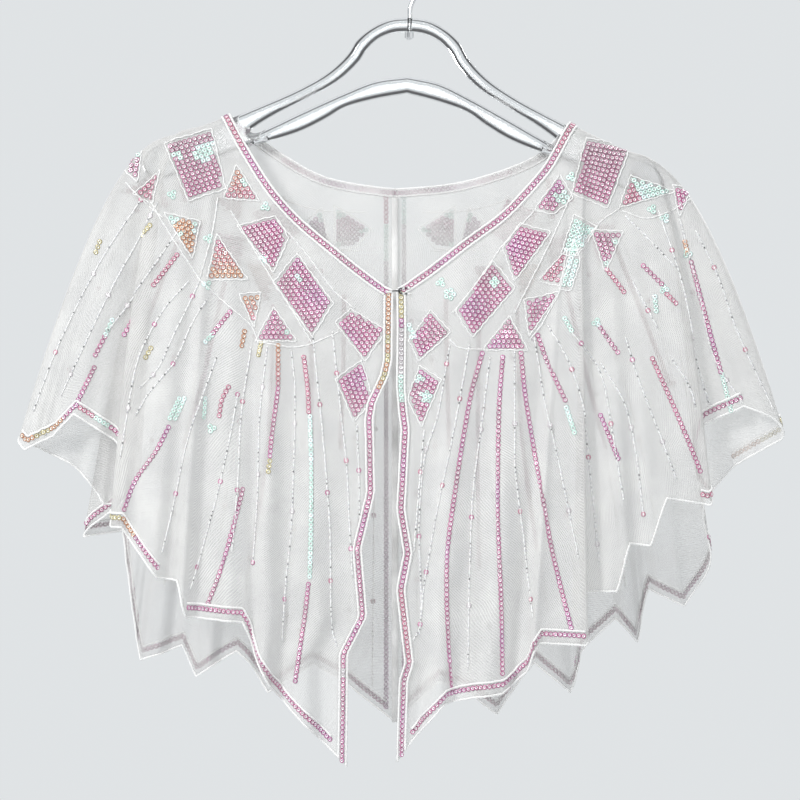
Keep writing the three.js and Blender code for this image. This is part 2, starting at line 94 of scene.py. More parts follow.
HEM_COLUMNS = ("steps", "x", "y", "z", "arm", "spread", "waves", "pleat")
LEFT_VEE = (
    (-17.4, -272), (-36.6, -258.5), (-60, -239.7), (-84, -219.5), (-96, -207.5), (-109.6, -191), (-127, -164),
)
RIGHT_VEE = (
    (5.5, -270.5), (25.6, -257), (55.2, -233), (81, -212.5), (101, -190.5), (114.4, -173.5), (129, -147),
)
LEFT_NAPE = ((CENTRE_BACK_X - SEAM_GAP / 2, -194.5), (-20, -193.5), (-68, -184), (-112, -158.5))
RIGHT_NAPE = ((CENTRE_BACK_X + SEAM_GAP / 2, -194.5), (3, -194), (50, -188), (110, -165))
LEFT_HEM = (
    (0, -52.4, -30, -628, -1, 1, 0, 0.7),
    (7, -101, -34, -576, -1, 1, 3, 1),
    (2, -112, -36, -557, -1, 1, 1, 1),
    (3, -126, -34, -524, -1, 1, 1, 1),
    (6, -169, -36, -520, -1, 0.95, 2, 1),
    (2, -176, -35, -492, -1, 0.85, 1, 0.9),
    (2, -191, -36, -490, -1, 0.75, 1, 0.7),
    (4, -219, -33, -451, -1, 0.55, 2, 0.4),
    (2, -228, -28, -451, -1, 0.4, 0, 0),
    (2, -222, -21, -436, -1, 0.4, 0, 0),
    (3, -206, -13, -411, -1, 0.45, 0, 0),
    (3, -227, -7, -384, -1, 0.55, 0, 0),
    (4, -258, -12, -364, -1, 0.75, 1, 0.5),
    (2, -274, -8, -381, -1, 0.75, 0, 0.3),
    (4, -297, -4, -392, -0.8, 0.7, 1, 0.1),
    (2, -302, 4, -382, 0, 0.68, 0, 0),
    (2, -286, 8, -391, 0.8, 0.7, 0, 0),
    (2, -260, 11, -405, 1, 0.7, 0, 0.2),
    (4, -237, 15, -435, 1, 0.65, 0, 0.1),
    (4, -227, 23, -434, 1, 0.6, 0, 0),
    (4, -255, 35, -462, 1, 0.65, 0, 0),
    (4, -225, 44, -457, 1, 0.65, 0, 0.1),
    (1, -222, 44, -481, 1, 0.75, 0, 0.2),
    (3, -216, 42, -524, 1, 0.8, 1, 0.4),
    (3, -210, 40, -559, 1, 0.9, 1, 0.7),
    (3, -191, 36, -553, 1, 1, 1, 0.9),
    (2, -177, 37, -547, 1, 1, 1, 1),
    (2, -166, 36, -572, 1, 1, 0, 1),
    (3, -146, 37, -559, 1, 1, 1, 1),
    (1, -134, 37, -552, 1, 1, 0, 1),
    (1, -124, 37, -561, 1, 1, 0, 1),
    (2, -109, 36, -585, 1, 1, 1, 1),
    (1, -99, 36, -578, 1, 1, 0, 1),
    (3, -74, 37, -562, 1, 1, 1, 1),
    (3, -47, 37, -577, 1, 1, 1, 0.8),
    (4, CENTRE_BACK_X - SEAM_GAP / 2, 38, -608, 1, 1, 1, 0),
)
RIGHT_HEM = (
    (0, 0.8, -31, -622, -1, 1, 0, 0.7),
    (5, 30, -35, -587, -1, 1, 2, 1),
    (3, 52, -34, -582, -1, 1, 1, 1),
    (3, 74, -35, -579, -1, 1, 1, 1),
    (3, 93, -34, -562, -1, 1, 1, 1),
    (2, 103, -35, -540, -1, 1, 1, 0.8),
    (2, 138, -34, -542, -1, 0.9, 0, 0.2),
    (2, 135, -27, -531, -1, 0.75, 0, 0),
    (2, 128, -19, -524, -1, 0.75, 0, 0),
    (2, 140, -12, -502, -1, 0.75, 0, 0),
    (3, 163, -20, -501, -1, 0.85, 1, 0.5),
    (2, 173, -20, -464, -1, 0.8, 1, 0.5),
    (2, 189, -21, -466, -1, 0.75, 1, 0.5),
    (2, 202, -19, -429, -1, 0.65, 1, 0.4),
    (4, 236, -15, -435, -1, 0.5, 0, 0.1),
    (2, 233, -9, -426, -1, 0.5, 0, 0),
    (1, 226, -5, -415, -1, 0.5, 0, 0),
    (2, 230, -2, -374, -1, 0.55, 0, 0),
    (2, 263, -7, -358, -1, 0.68, 1, 0.4),
    (2, 287, -4, -368, -0.8, 0.66, 0, 0.1),
    (2, 295, 4, -382, 0, 0.64, 0, 0),
    (2, 281, 9, -391, 0.8, 0.66, 0, 0),
    (4, 257, 14, -405, 1, 0.7, 1, 0.4),
    (4, 234, 19, -436, 1, 0.7, 0, 0.2),
    (3, 240, 26, -482, 1, 0.7, 0, 0.2),
    (3, 220, 30, -516, 1, 0.8, 1, 0.5),
    (4, 192, 34, -502, 1, 0.9, 1, 0.8),
    (3, 183, 36, -545, 1, 0.95, 1, 1),
    (3, 166, 37, -526, 1, 1, 1, 1),
    (4, 139, 37, -552, 1, 1, 1, 1),
    (1, 137, 37, -561, 1, 1, 0, 1),
    (2, 130, 38, -585, 1, 1, 0, 1),
    (3, 102, 37, -561, 1, 1, 1, 1),
    (4, 72, 38, -602, 1, 1, 1, 1),
    (3, 52, 37, -586, 1, 1, 1, 1),
    (4, 26, 38, -576, 1, 1, 1, 0.8),
    (5, CENTRE_BACK_X + SEAM_GAP / 2, 38, -608, 1, 1, 1, 0),
)

# Half of the hanger's outline in millimetres: across from the middle, and down from its crown.
HANGER_TOP = (
    (0, 0), (15, 2), (29, 9), (40, 19), (47, 30.5), (61, 44.5), (83, 58.5),
    (120, 76.5), (134, 83), (173, 99.5), (187, 103.5), (196, 108.5),
)
HANGER_TIP = ((202, 116), (203.5, 124), (199, 131), (190, 134.5))
HANGER_BOTTOM = (
    (180, 131), (144, 114.5), (118, 104), (98, 98), (80, 91), (62, 81), (48, 72), (25, 64.5), (0, 59),
)
GAP_TOP = (
    (0, 11), (12, 12.3), (23, 17), (32, 25.5), (38.5, 36), (54, 51.5), (78, 66.5), (100, 78.5), (116, 89),
)
GAP_END = ((121, 93.5),)
GAP_BOTTOM = ((117, 95), (103, 88.5), (81, 77), (49, 61), (25, 50.5), (0, 46))


def smooth_step(value: np.ndarray | float) -> np.ndarray | float:
    """Eases a share from 0 to 1, flat at both ends."""
    share = np.clip(value, 0.0, 1.0)
    return share * share * (3 - 2 * share)


def lengths_along(line: np.ndarray) -> np.ndarray:
    """The length of a line up to each of its points."""
    return np.concatenate([[0.0], np.cumsum(np.linalg.norm(np.diff(line, axis=0), axis=1))])


def read_line(line: np.ndarray, lengths: np.ndarray, want: np.ndarray | float) -> np.ndarray:
    """The values of a line, or of what goes with it, at wanted lengths along it."""
    return np.stack([np.interp(want, lengths, line[:, axis]) for axis in range(line.shape[1])], axis=-1)


class SmoothLine:
    """A centripetal curve through given points, read by its share of length."""

    SAMPLES_PER_SPAN = 60

    def __init__(self, points: tuple[Point, ...] | list[Point]) -> None:
        """Samples the curve through the points.

        Args:
            points: The points in order, in any number of dimensions.
        """
        given = np.array(points, dtype=float)
        first = 2 * given[0] - given[1]
        last = 2 * given[-1] - given[-2]
        guides = np.vstack([first, given, last])
        pieces = [
            self._span(*guides[at:at + 4], with_end=at == len(given) - 2) for at in range(len(given) - 1)
        ]
        self.samples = np.vstack(pieces)
        self.lengths = lengths_along(self.samples)

    def _span(self, a: np.ndarray, b: np.ndarray, c: np.ndarray, d: np.ndarray, with_end: bool) -> np.ndarray:
        """Samples the stretch between the two middle guides.

        Args:
            a: The guide before the stretch.
            b: The start of the stretch.
            c: The end of the stretch.
            d: The guide after the stretch.
            with_end: Whether the stretch's last point is included.

        Returns:
            The sampled points, one a row.
        """
        gaps = [max(math.sqrt(float(np.linalg.norm(q - p))), 1e-4) for p, q in ((a, b), (b, c), (c, d))]
        leave = ((b - a) / gaps[0] - (c - a) / (gaps[0] + gaps[1]) + (c - b) / gaps[1]) * gaps[1]
        arrive = ((c - b) / gaps[1] - (d - b) / (gaps[1] + gaps[2]) + (d - c) / gaps[2]) * gaps[1]
        t = np.linspace(0, 1, self.SAMPLES_PER_SPAN + 1)[:, None]
        if not with_end:
            t = t[:-1]
        return (
            b + leave * t + (-3 * b + 3 * c - 2 * leave - arrive) * t ** 2
            + (2 * b - 2 * c + leave + arrive) * t ** 3
        )

    @property
    def length(self) -> float:
        """The curve's whole length."""
        return float(self.lengths[-1])

    def at(self, share: np.ndarray | float) -> np.ndarray:
        """Gives points at one or many shares of the length, from 0 to 1."""
        return read_line(self.samples, self.lengths, np.asarray(share, dtype=float) * self.length)

    def evenly(self, pitch: float) -> np.ndarray:
        """Gives points along the whole curve at an even pitch."""
        count = max(int(round(self.length / pitch)), 1)
        return self.at(np.linspace(0, 1, count + 1))


@dataclass(frozen=True)
class HangerSizes:
    """The clear hanger's driving sizes in millimetres, the same as the solid's."""

    crown: Point = (3.1, -55.0)
    tilt: float = math.radians(2.3)
    thickness: float = 10.0
    seat: float = 2.4
    neck_reach_left: float = 142.0
    neck_reach_right: float = 133.0
    wire: float = 3.5
    bend_radius: float = 17.0
    stem_foot: float = -17.0
    open_at: float = 200.0
    join_at: float = -45.0

    def place(self, across: float, down: float) -> Point:
        """Turns a point of the hanger's own plane into the part's x and z.

        Args:
            across: Millimetres from the middle of the hanger.
            down: Millimetres below its crown.

        Returns:
            The part's x and z.
        """
        return (
            self.crown[0] + across * math.cos(self.tilt) - down * math.sin(self.tilt),
            self.crown[1] - across * math.sin(self.tilt) - down * math.cos(self.tilt),
        )

    def arm_line(self, side: Side) -> SmoothLine:
        """The line on which the cloth lies over one arm, from the neck out to the tip.

        Args:
            side: The half of the capelet that hangs there.

        Returns:
            The line in x and z.
        """
        steps = 60
        arm_start = 100
        top = SmoothLine([point for point in HANGER_TOP if point[0] > arm_start] + [HANGER_TIP[0]])
        reach = self.neck_reach_left if side is Side.LEFT else self.neck_reach_right
        line = []
        for step in range(steps + 1):
            share = step / steps
            before, after = top.at(max(share - 1e-3, 0)), top.at(min(share + 1e-3, 1))
            along = (after - before) / np.linalg.norm(after - before)
            across, down = top.at(share) + self.seat * np.array([along[1], -along[0]])
            if across >= reach:
                line.append(self.place(side.value * across, down))
        return SmoothLine(line)


HANGER = HangerSizes()
CREASE_BOW = 0.06


@dataclass(frozen=True)
class Crease:
    """A soft ridge or trough in the net, from its upper to its lower end in x and z."""

    top: Point
    foot: Point
    width: float
    depth: float

    def push(self, x: np.ndarray, z: np.ndarray) -> np.ndarray:
        """How far the crease moves the cloth outward.

        Args:
            x: The points' x, in millimetres.
            z: The points' z, in millimetres.

        Returns:
            The outward move of each point.
        """
        start = np.array(self.top, dtype=float)
        run = np.array(self.foot, dtype=float) - start
        share = ((x - start[0]) * run[0] + (z - start[1]) * run[1]) / float(run @ run)
        held = np.clip(share, 0, 1)
        bow = CREASE_BOW * math.hypot(*run) * np.sin(held * math.pi) * np.sign(run[0])
        away = np.hypot(x - start[0] - held * run[0] - bow, z - start[1] - held * run[1])
        fade = smooth_step(held * 3) * smooth_step((1 - held) * 4 + 0.25)
        return self.depth * np.exp(-(away / self.width) ** 2) * fade


FRONT_CREASES = {
    Side.LEFT: (
        Crease((-137, -276), (-166, -500), 9, 3.2), Crease((-197, -222), (-266, -353), 8, 2.8),
        Crease((-213, -199), (-290, -376), 7, 2.2), Crease((-82, -314), (-109, -560), 7, 2.4),
        Crease((-55, -314), (-62, -560), 6, 2.0), Crease((-175, -250), (-214, -430), 8, -2.6),
        Crease((-112, -300), (-140, -520), 7, -2.4), Crease((-92, -330), (-84, -560), 6, -2.2),
        Crease((-160, -215), (-235, -300), 6, 2.0), Crease((-60, -285), (-105, -300), 6, 1.6),
    ),
    Side.RIGHT: (
        Crease((138, -300), (153, -520), 10, 3.6), Crease((26, -314), (15, -560), 7, 2.2),
        Crease((57, -314), (65, -560), 7, 2.4), Crease((180, -214), (226, -400), 9, 3.0),
        Crease((196, -207), (273, -368), 8, 2.6), Crease((98, -300), (112, -540), 8, -2.6),
        Crease((40, -320), (38, -560), 6, -2.0), Crease((160, -240), (196, -440), 8, -2.6),
        Crease((150, -210), (200, -262), 6, 2.0), Crease((120, -270), (160, -300), 6, 1.8),
    ),
}
BACK_CREASES = (
    Crease((30, -230), (44, -560), 9, 3.0), Crease((70, -240), (96, -540), 8, -2.6),
    Crease((108, -230), (150, -520), 9, 3.0), Crease((150, -220), (196, -470), 8, -2.4),
    Crease((186, -215), (236, -430), 8, 2.6), Crease((60, -215), (140, -236), 7, 1.8),
)

# How far the edge of each front waves off its straight run: z of the place, then x of the wave.
EDGE_WAVE = {
    Side.LEFT: (
        (-270, 0), (-322, 4.6), (-334, 3.2), (-355, -4.6), (-368, -5.4), (-382, -3.5), (-425, 1.5),
        (-468, -4.6), (-520, 5), (-549, -7), (-580, -4), (-628, 0),
    ),
    Side.RIGHT: (
        (-268, -5.6), (-299, -4.8), (-342, -4.9), (-361, -3.1), (-376, -0.8), (-411, -2.3), (-438, -3.6),
        (-471, 2.3), (-499, -2.8), (-556, 4.2), (-569, 0), (-628, -1.3),
    ),
}
EDGE_WAVE_REACH = 7.0
# The flutes of the hem: how fast each turns round the half, where it starts and how deep it is.
HEM_FLUTES = ((2.9, 0.0, 0.9), (1.7, 1.3, 0.7))


class HangingHalf:
    """The form of one half of the capelet as it hangs: columns run round it, and drops down it."""

    NECK_DROPS = (0, 0.5, 1.4, 2.6, 4.2, 6.4, 9.5, 13.5, 18.5, 24)

    def __init__(self, side: Side, vee: tuple[Point, ...], nape: tuple[Point, ...], hem: tuple) -> None:
        """Prepares the half's lines and its table of folds.

        Args:
            side: Which half it is.
            vee: The seam line of the V, from the middle to the shoulder.
            nape: The seam line of the back neck, from the centre back to the shoulder.
            hem: A row for each fold, from the front opening round to the centre back.
        """
        self.side = side
        columns = np.array(hem, dtype=float).T
        self.hem = dict(zip(HEM_COLUMNS, columns))
        self.starts = np.cumsum(self.hem["steps"])
        self.waves = np.cumsum(self.hem["waves"])
        self.arm = HANGER.arm_line(side)
        self.neck_side = self.arm.at(0.0)
        shoulder = tuple(self.neck_side)
        self.vee_line = SmoothLine([*vee, shoulder])
        self.nape_line = SmoothLine([*nape, shoulder])
        self.vee_depth = self.neck_side[1] - vee[0][1]
        self.nape_depth = self.neck_side[1] - nape[0][1]
        inward = self.arm.at(0.0) - self.arm.at(0.01)
        inward /= np.linalg.norm(inward)
        self.arm_away = np.array([inward[0], 0.0, inward[1]])

    def value(self, name: str, column: np.ndarray) -> np.ndarray:
        """Reads the table of folds between its rows: straight for z and arm, smooth for the rest.

        Args:
            name: The table's column.
            column: Where round the half, from 0 at the front opening.

        Returns:
            The values there.
        """
        table = self.hem[name]
        if name in ("z", "arm"):
            return np.interp(column, self.starts, table)
        last = len(table) - 1
        row = np.clip(np.searchsorted(self.starts, column, side="left") - 1, 0, last - 1)
        low = np.maximum(np.arange(last + 1) - 1, 0)
        high = np.minimum(np.arange(last + 1) + 1, last)
        slope = (table[high] - table[low]) / (self.starts[high] - self.starts[low])
        width = self.starts[row + 1] - self.starts[row]
        t = (column - self.starts[row]) / width
        return (
            (2 * t ** 3 - 3 * t ** 2 + 1) * table[row] + (t ** 3 - 2 * t ** 2 + t) * slope[row] * width
            + (3 * t ** 2 - 2 * t ** 3) * table[row + 1] + (t ** 3 - t ** 2) * slope[row + 1] * width
        )

    def top(self, column: np.ndarray) -> np.ndarray:
        """The cloth's top edge: the V, the arm in front, the arm behind and the back neck.

        Args:
            column: Where round the half.

        Returns:
            x and z, one point a row.
        """
        arm_end = STRETCH_VEE + STRETCH_ARM
        nape_start = arm_end + STRETCH_ARM
        vee = self.vee_line.at(1 - np.clip(1 - column / STRETCH_VEE, 0, 1) ** NECK_CROWDING)
        out = self.arm.at(np.clip((column - STRETCH_VEE) / STRETCH_ARM, 0, 1))
        home = self.arm.at(np.clip(1 - (column - arm_end) / STRETCH_ARM, 0, 1))
        nape = self.nape_line.at(1 - np.clip((column - nape_start) / STRETCH_NAPE, 0, 1) ** NECK_CROWDING)
        place = column[:, None]
        return np.where(
            place <= STRETCH_VEE, vee,
            np.where(place <= arm_end, out, np.where(place <= nape_start, home, nape)),
        )

    def surface(self, column: np.ndarray, even_rows: int) -> np.ndarray:
        """Works out the hanging sheet without thickness.

        Args:
            column: Where round the half each line of the sheet lies.
            even_rows: How many rows lie evenly between the shoulder and the hem.

        Returns:
            The points in millimetres, by column and row.
        """
        top = self.top(column)
        x0, z0 = top[:, 0, None], top[:, 1, None]
        end = {name: self.value(name, column)[:, None] for name in ("x", "y", "z", "arm", "spread", "pleat")}
        height = z0 - end["z"]
        near = np.array(self.NECK_DROPS)[None, :] / height
        even = np.arange(1, even_rows + 1)[None, :] / even_rows
        v = np.hstack([near, near[:, -1:] + (1 - near[:, -1:]) * even])
        over_arm = ((column >= STRETCH_VEE) & (column <= STRETCH_TOTAL - STRETCH_NAPE))[:, None]
        ridge = np.where(over_arm, z0, self.neck_side[1])
        opened = v ** end["spread"]
        z = z0 + (end["z"] - z0) * v
        x = x0 + (end["x"] - x0) * opened
        drop = ridge - z
        full = end["arm"] * ARM_ROUND
        inside = np.clip(1 - drop / ARM_ROUND, 0, 1)
        shape = (1 - inside ** ARM_FULLNESS) ** (1 / ARM_FULLNESS)
        front = end["arm"] < 0
        lean = np.where(front, -FRONT_LEAN / self.vee_depth, BACK_LEAN / self.nape_depth) * (ridge - z0)
        phase = np.interp(column, self.starts, self.waves)[:, None] * math.pi
        growth = np.clip(drop / (ridge - end["z"]), 0, None) ** PLEAT_GROWTH
        y = (
            full * shape + lean * (1 - opened) + (end["y"] - full) * opened
            + PLEAT_DEPTH * end["pleat"] * np.sin(phase) * growth
        )
        return self._settle(np.stack([x, y, z], axis=-1), column, v)

    def _settle(self, points: np.ndarray, column: np.ndarray, v: np.ndarray) -> np.ndarray:
        """Adds the listed creases, the waving front edge and the small flutes of the hem.

        Args:
            points: The plain hanging sheet.
            column: Where round the half each line lies.
            v: Each point's share of the way to the hem.

        Returns:
            The moved points.
        """
        x, y, z = (points[..., axis] for axis in range(3))
        front = smooth_step((STRETCH_VEE + STRETCH_ARM - 4 - column) / 6)[:, None]
        back = smooth_step((column - STRETCH_VEE - STRETCH_ARM - 6) / 6)[:, None]
        sign = self.side.value
        for crease in FRONT_CREASES[self.side]:
            y = y - crease.push(x, z) * front
        for crease in BACK_CREASES:
            y = y + crease.push((x - CENTRE_BACK_X) * sign, z) * back
        heights, offsets = zip(*sorted(EDGE_WAVE[self.side]))
        wave = np.interp(z, heights, offsets)
        x = x + wave * np.exp(-(column / EDGE_WAVE_REACH) ** 2)[:, None]
        seam = smooth_step((STRETCH_TOTAL - column) / 3)[:, None] * smooth_step(column / 2)[:, None]
        ripple = sum(np.sin(column * rate + start)[:, None] * depth for rate, start, depth in HEM_FLUTES)
        y = y + ripple * v ** 3 * seam * np.where(front > 0, -1, 1)
        return np.stack([x, y, z], axis=-1)


def grid_normals(grid: np.ndarray, outward: int) -> np.ndarray:
    """Unit normals of a grid of points.

    Args:
        grid: The points by column and row.
        outward: 1 or -1, which turns the normals out.

    Returns:
        A normal for each point.
    """
    across = np.gradient(grid, axis=0)
    down = np.gradient(grid, axis=1)
    normal = np.cross(across, down)
    return outward * normal / np.maximum(np.linalg.norm(normal, axis=-1, keepdims=True), 1e-9)


def put_on(name: str, data: bpy.types.Mesh) -> bpy.types.Object:
    """Makes a piece of a mesh and puts it on the part's body.

    Args:
        name: The piece's name.
        data: The mesh, in metres.

    Returns:
        The new object.
    """
    piece = bpy.data.objects.new(name, data)
    bpy.context.scene.collection.objects.link(piece)
    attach(piece, BODY)
    LOG.info("%s: %d points, %d faces", name, len(data.vertices), len(data.polygons))
    return piece


def new_piece(name: str, points: np.ndarray, faces: list | np.ndarray) -> bpy.types.Object:
    """Makes a mesh piece from points in millimetres and puts it on the part's body.

    Args:
        name: The piece's name.
        points: The points, one a row, in millimetres.
        faces: The faces as lists of point numbers.

    Returns:
        The new object.
    """
    data = bpy.data.meshes.new(name)
    listed = faces if isinstance(faces, list) else faces.tolist()
    data.from_pydata((np.asarray(points) * MM).tolist(), [], listed)
    data.polygons.foreach_set("use_smooth", [True] * len(data.polygons))
    data.update()
    return put_on(name, data)


def paint(piece: bpy.types.Object, name: str, colours: np.ndarray) -> None:
    """Stores a colour for each point of a piece.

    Args:
        piece: The piece.
        name: The attribute's name, which a material reads.
        colours: Red, green and blue, one row a point.
    """
    layer = piece.data.color_attributes.new(name, "FLOAT_COLOR", "POINT")
    full = np.ones((len(piece.data.vertices), 4))
    full[:, :3] = colours
    layer.data.foreach_set("color", full.ravel())


def dress(piece: bpy.types.Object, material: bpy.types.Material) -> None:
    """Gives a piece its one material."""
    piece.data.materials.clear()
    piece.data.materials.append(material)


def build_copies(name: str, points: list[np.ndarray], colours: list[np.ndarray], one: np.ndarray,
                 material: bpy.types.Material) -> bpy.types.Object:
    """Makes one painted piece of many small copies of a mesh.

    Args:
        name: The piece's name.
        points: The copies' points, copy after copy.
        colours: The points' colours, in the same order.
        one: The faces of one copy.
        material: The copies' finish.

    Returns:
        The piece.
    """
    placed = np.vstack(points)
    size = int(one.max()) + 1
    starts = np.arange(len(placed) // size) * size
    piece = new_piece(name, placed, (starts[:, None, None] + one[None]).reshape(-1, one.shape[1]))
    paint(piece, "foil", np.vstack(colours))
    dress(piece, material)
    return piece


class NetShell:
    """One half of the net as a thin closed shell, with the places of its threads."""

    COLUMNS_PER_STEP = 3
    EVEN_ROWS = 78
    THICKNESS = 0.5
    STEEPEST = 0.3
    SHADE_TOP = -380.0
    SHADE_HEIGHT = 120.0
    SHADE_DEPTH = 10.0

    def __init__(self, form: HangingHalf) -> None:
        """Works out the shell's two skins.

        Args:
            form: The half's hanging form.
        """
        self.form = form
        count = STRETCH_TOTAL * self.COLUMNS_PER_STEP
        self.column = np.linspace(0, STRETCH_TOTAL, count + 1)
        self.grid = form.surface(self.column, self.EVEN_ROWS)
        self.normal = grid_normals(self.grid, -form.side.value)
        self.normal[-1] = (0, 1, 0)
        self.rows = self.grid.shape[1]

    def build(self) -> bpy.types.Object:
        """Makes the shell's mesh, with the front and the back joined on the arm's ridge.

        The colour it stores says how far the cloth gathers, and how much painted shade the low inside of the
        back takes.

        Returns:
            The net piece.
        """
        columns = len(self.column)
        at = np.arange(columns * self.rows).reshape(columns, self.rows)
        last_ridge = (STRETCH_TOTAL - STRETCH_NAPE) * self.COLUMNS_PER_STEP
        first_ridge = STRETCH_VEE * self.COLUMNS_PER_STEP
        behind = np.arange((STRETCH_VEE + STRETCH_ARM) * self.COLUMNS_PER_STEP + 1, last_ridge + 1)
        before = first_ridge + last_ridge - behind
        shared = self.normal[before, 0] + self.normal[behind, 0]
        self.normal[before, 0] = shared / np.linalg.norm(shared, axis=-1, keepdims=True)
        at[behind, 0] = at[before, 0]
        quads = np.stack([at[:-1, :-1], at[1:, :-1], at[1:, 1:], at[:-1, 1:]], axis=-1).reshape(-1, 4)
        if self.form.side is Side.RIGHT:
            quads = quads[:, ::-1]
        used, compact = np.unique(quads, return_inverse=True)
        quads = compact.reshape(-1, 4)
        skin = len(used)
        flat = self.grid.reshape(-1, 3)[used]
        half = self.normal.reshape(-1, 3)[used] * self.THICKNESS / 2
        walls = self._edge_walls(quads, skin)
        faces = np.vstack([quads, quads[:, ::-1] + skin, walls])
        piece = new_piece(f"net_{self.form.side.word}", np.vstack([flat + half, flat - half]), faces)
        self._lay_threads(piece, used)
        slope = 1 / np.clip(np.abs(self.normal[..., 1].ravel()[used]), self.STEEPEST, 1)
        gather = (slope - 1) / (1 / self.STEEPEST - 1)
        # Painted shade: the inner skin of the back gets darker towards the hem, stored in the green channel.
        low = np.clip((self.SHADE_TOP - flat[:, 2]) / self.SHADE_HEIGHT, 0, 1)
        low *= np.clip(flat[:, 1] / self.SHADE_DEPTH, 0, 1)
        outer = np.stack([gather, 0 * low, 0 * low], axis=-1)
        inner = np.stack([gather, low, 0 * low], axis=-1)
        paint(piece, "gather", np.vstack([outer, inner]))
        return piece

    @staticmethod
    def _edge_walls(quads: np.ndarray, skin: int) -> np.ndarray:
        """Faces that join the two skins along every open edge.

        Args:
            quads: The outer skin's faces.
            skin: How many points each skin has.

        Returns:
            The joining faces.
        """
        edges = np.vstack([quads[:, [side, (side + 1) % 4]] for side in range(4)])
        codes = edges[:, 0] * skin + edges[:, 1]
        opposite = edges[:, 1] * skin + edges[:, 0]
        rim = edges[~np.isin(codes, opposite)]
        return np.stack([rim[:, 1], rim[:, 0], rim[:, 0] + skin, rim[:, 1] + skin], axis=-1)

    def _lay_threads(self, piece: bpy.types.Object, used: np.ndarray) -> None:
        """Stores where each point lies in the cloth, in metres round it and down it.

        Args:
            piece: The net piece.
            used: The grid's points that the skin keeps, in order.
        """
        round_it = np.linalg.norm(np.diff(self.grid, axis=0), axis=-1)
        down_it = np.linalg.norm(np.diff(self.grid, axis=1), axis=-1)
        u = np.vstack([np.zeros((1, self.rows)), np.cumsum(round_it, axis=0)])
        v = np.hstack([np.zeros((len(self.column), 1)), np.cumsum(down_it, axis=1)])
        place = np.stack([u, v], axis=-1).reshape(-1, 2)[used] * MM
        place = np.vstack([place, place])
        corners = np.empty(len(piece.data.loops), dtype=int)
        piece.data.loops.foreach_get("vertex_index", corners)
        layer = piece.data.uv_layers.new(name="threads")
        layer.data.foreach_set("uv", place[corners].ravel())

    def area(self) -> float:
        """The cloth's area as it was cut.

        Returns:
            Square metres.
        """
        a = self.grid[1:, 1:] - self.grid[:-1, :-1]
        b = self.grid[1:, :-1] - self.grid[:-1, 1:]
        return float(np.linalg.norm(np.cross(a, b), axis=-1).sum()) / 2 * MM * MM

    def hem_line(self, inset: float, first: float, last: float) -> tuple[np.ndarray, np.ndarray]:
        """A line that follows the hem at an even distance up the cloth.

        Args:
            inset: Millimetres above the hem, measured down the cloth.
            first: The column at which the line starts.
            last: The column at which it ends.

        Returns:
            The line's points and the cloth's normals there.
        """
        chosen = np.flatnonzero((self.column >= first) & (self.column <= last))
        points, normals = [], []
        for column in chosen:
            down = lengths_along(self.grid[column])
            points.append(read_line(self.grid[column], down, down[-1] - inset))
            normals.append(read_line(self.normal[column], down, down[-1] - inset))
        return np.array(points), np.array(normals)


class ClothRays:
    """Finds where a place on the chart lies on the outside of the cloth."""

    REACH = 200.0

    def __init__(self, shells: list[NetShell]) -> None:
        """Gathers the outer skins of both halves.

        Args:
            shells: The halves of the net.
        """
        points, faces, start = [], [], 0
        for shell in shells:
            skin = shell.grid + shell.normal * NetShell.THICKNESS / 2
            columns, rows = skin.shape[:2]
            at = np.arange(columns * rows).reshape(columns, rows) + start
            quads = np.stack([at[:-1, :-1], at[1:, :-1], at[1:, 1:], at[:-1, 1:]], axis=-1)
            points.append(skin.reshape(-1, 3))
            faces.append(quads.reshape(-1, 4))
            start += columns * rows
        self.tree = BVHTree.FromPolygons(np.vstack(points).tolist(), np.vstack(faces).tolist())

    def find(self, x: float, z: float, face: Face) -> tuple[np.ndarray, np.ndarray] | None:
        """Casts one ray at the cloth.

        Args:
            x: The chart's x in millimetres.
            z: The chart's z in millimetres.
            face: The side from which the ray comes.

        Returns:
            The point and the outward normal there, or None where there is no cloth.
        """
        origin = Vector((x, -self.REACH * face.value, z))
        hit, normal, _, _ = self.tree.ray_cast(origin, Vector((0, face.value, 0)))
        if hit is None:
            return None
        out = np.array(normal)
        if out[1] * face.value > 0:
            out = -out
        return np.array(hit), out

    def lay(self, line: np.ndarray, face: Face) -> list[tuple[np.ndarray, np.ndarray]]:
        """Lays a charted line on the cloth, cut where it leaves the cloth or jumps to another fold.

        Args:
            line: x and z, one point a row.
            face: The side on which it lies.

        Returns:
            The runs of the line, each as points and normals.
        """
        jump = 9.0
        runs: list[tuple[list, list]] = [([], [])]
        for x, z in line:
            found = self.find(float(x), float(z), face)
            points, normals = runs[-1]
            if found is None or (points and abs(found[0][1] - points[-1][1]) > jump):
                if points:
                    runs.append(([], []))
                points, normals = runs[-1]
            if found is not None:
                points.append(found[0])
                normals.append(found[1])
        return [(np.array(points), np.array(normals)) for points, normals in runs if len(points) > 1]


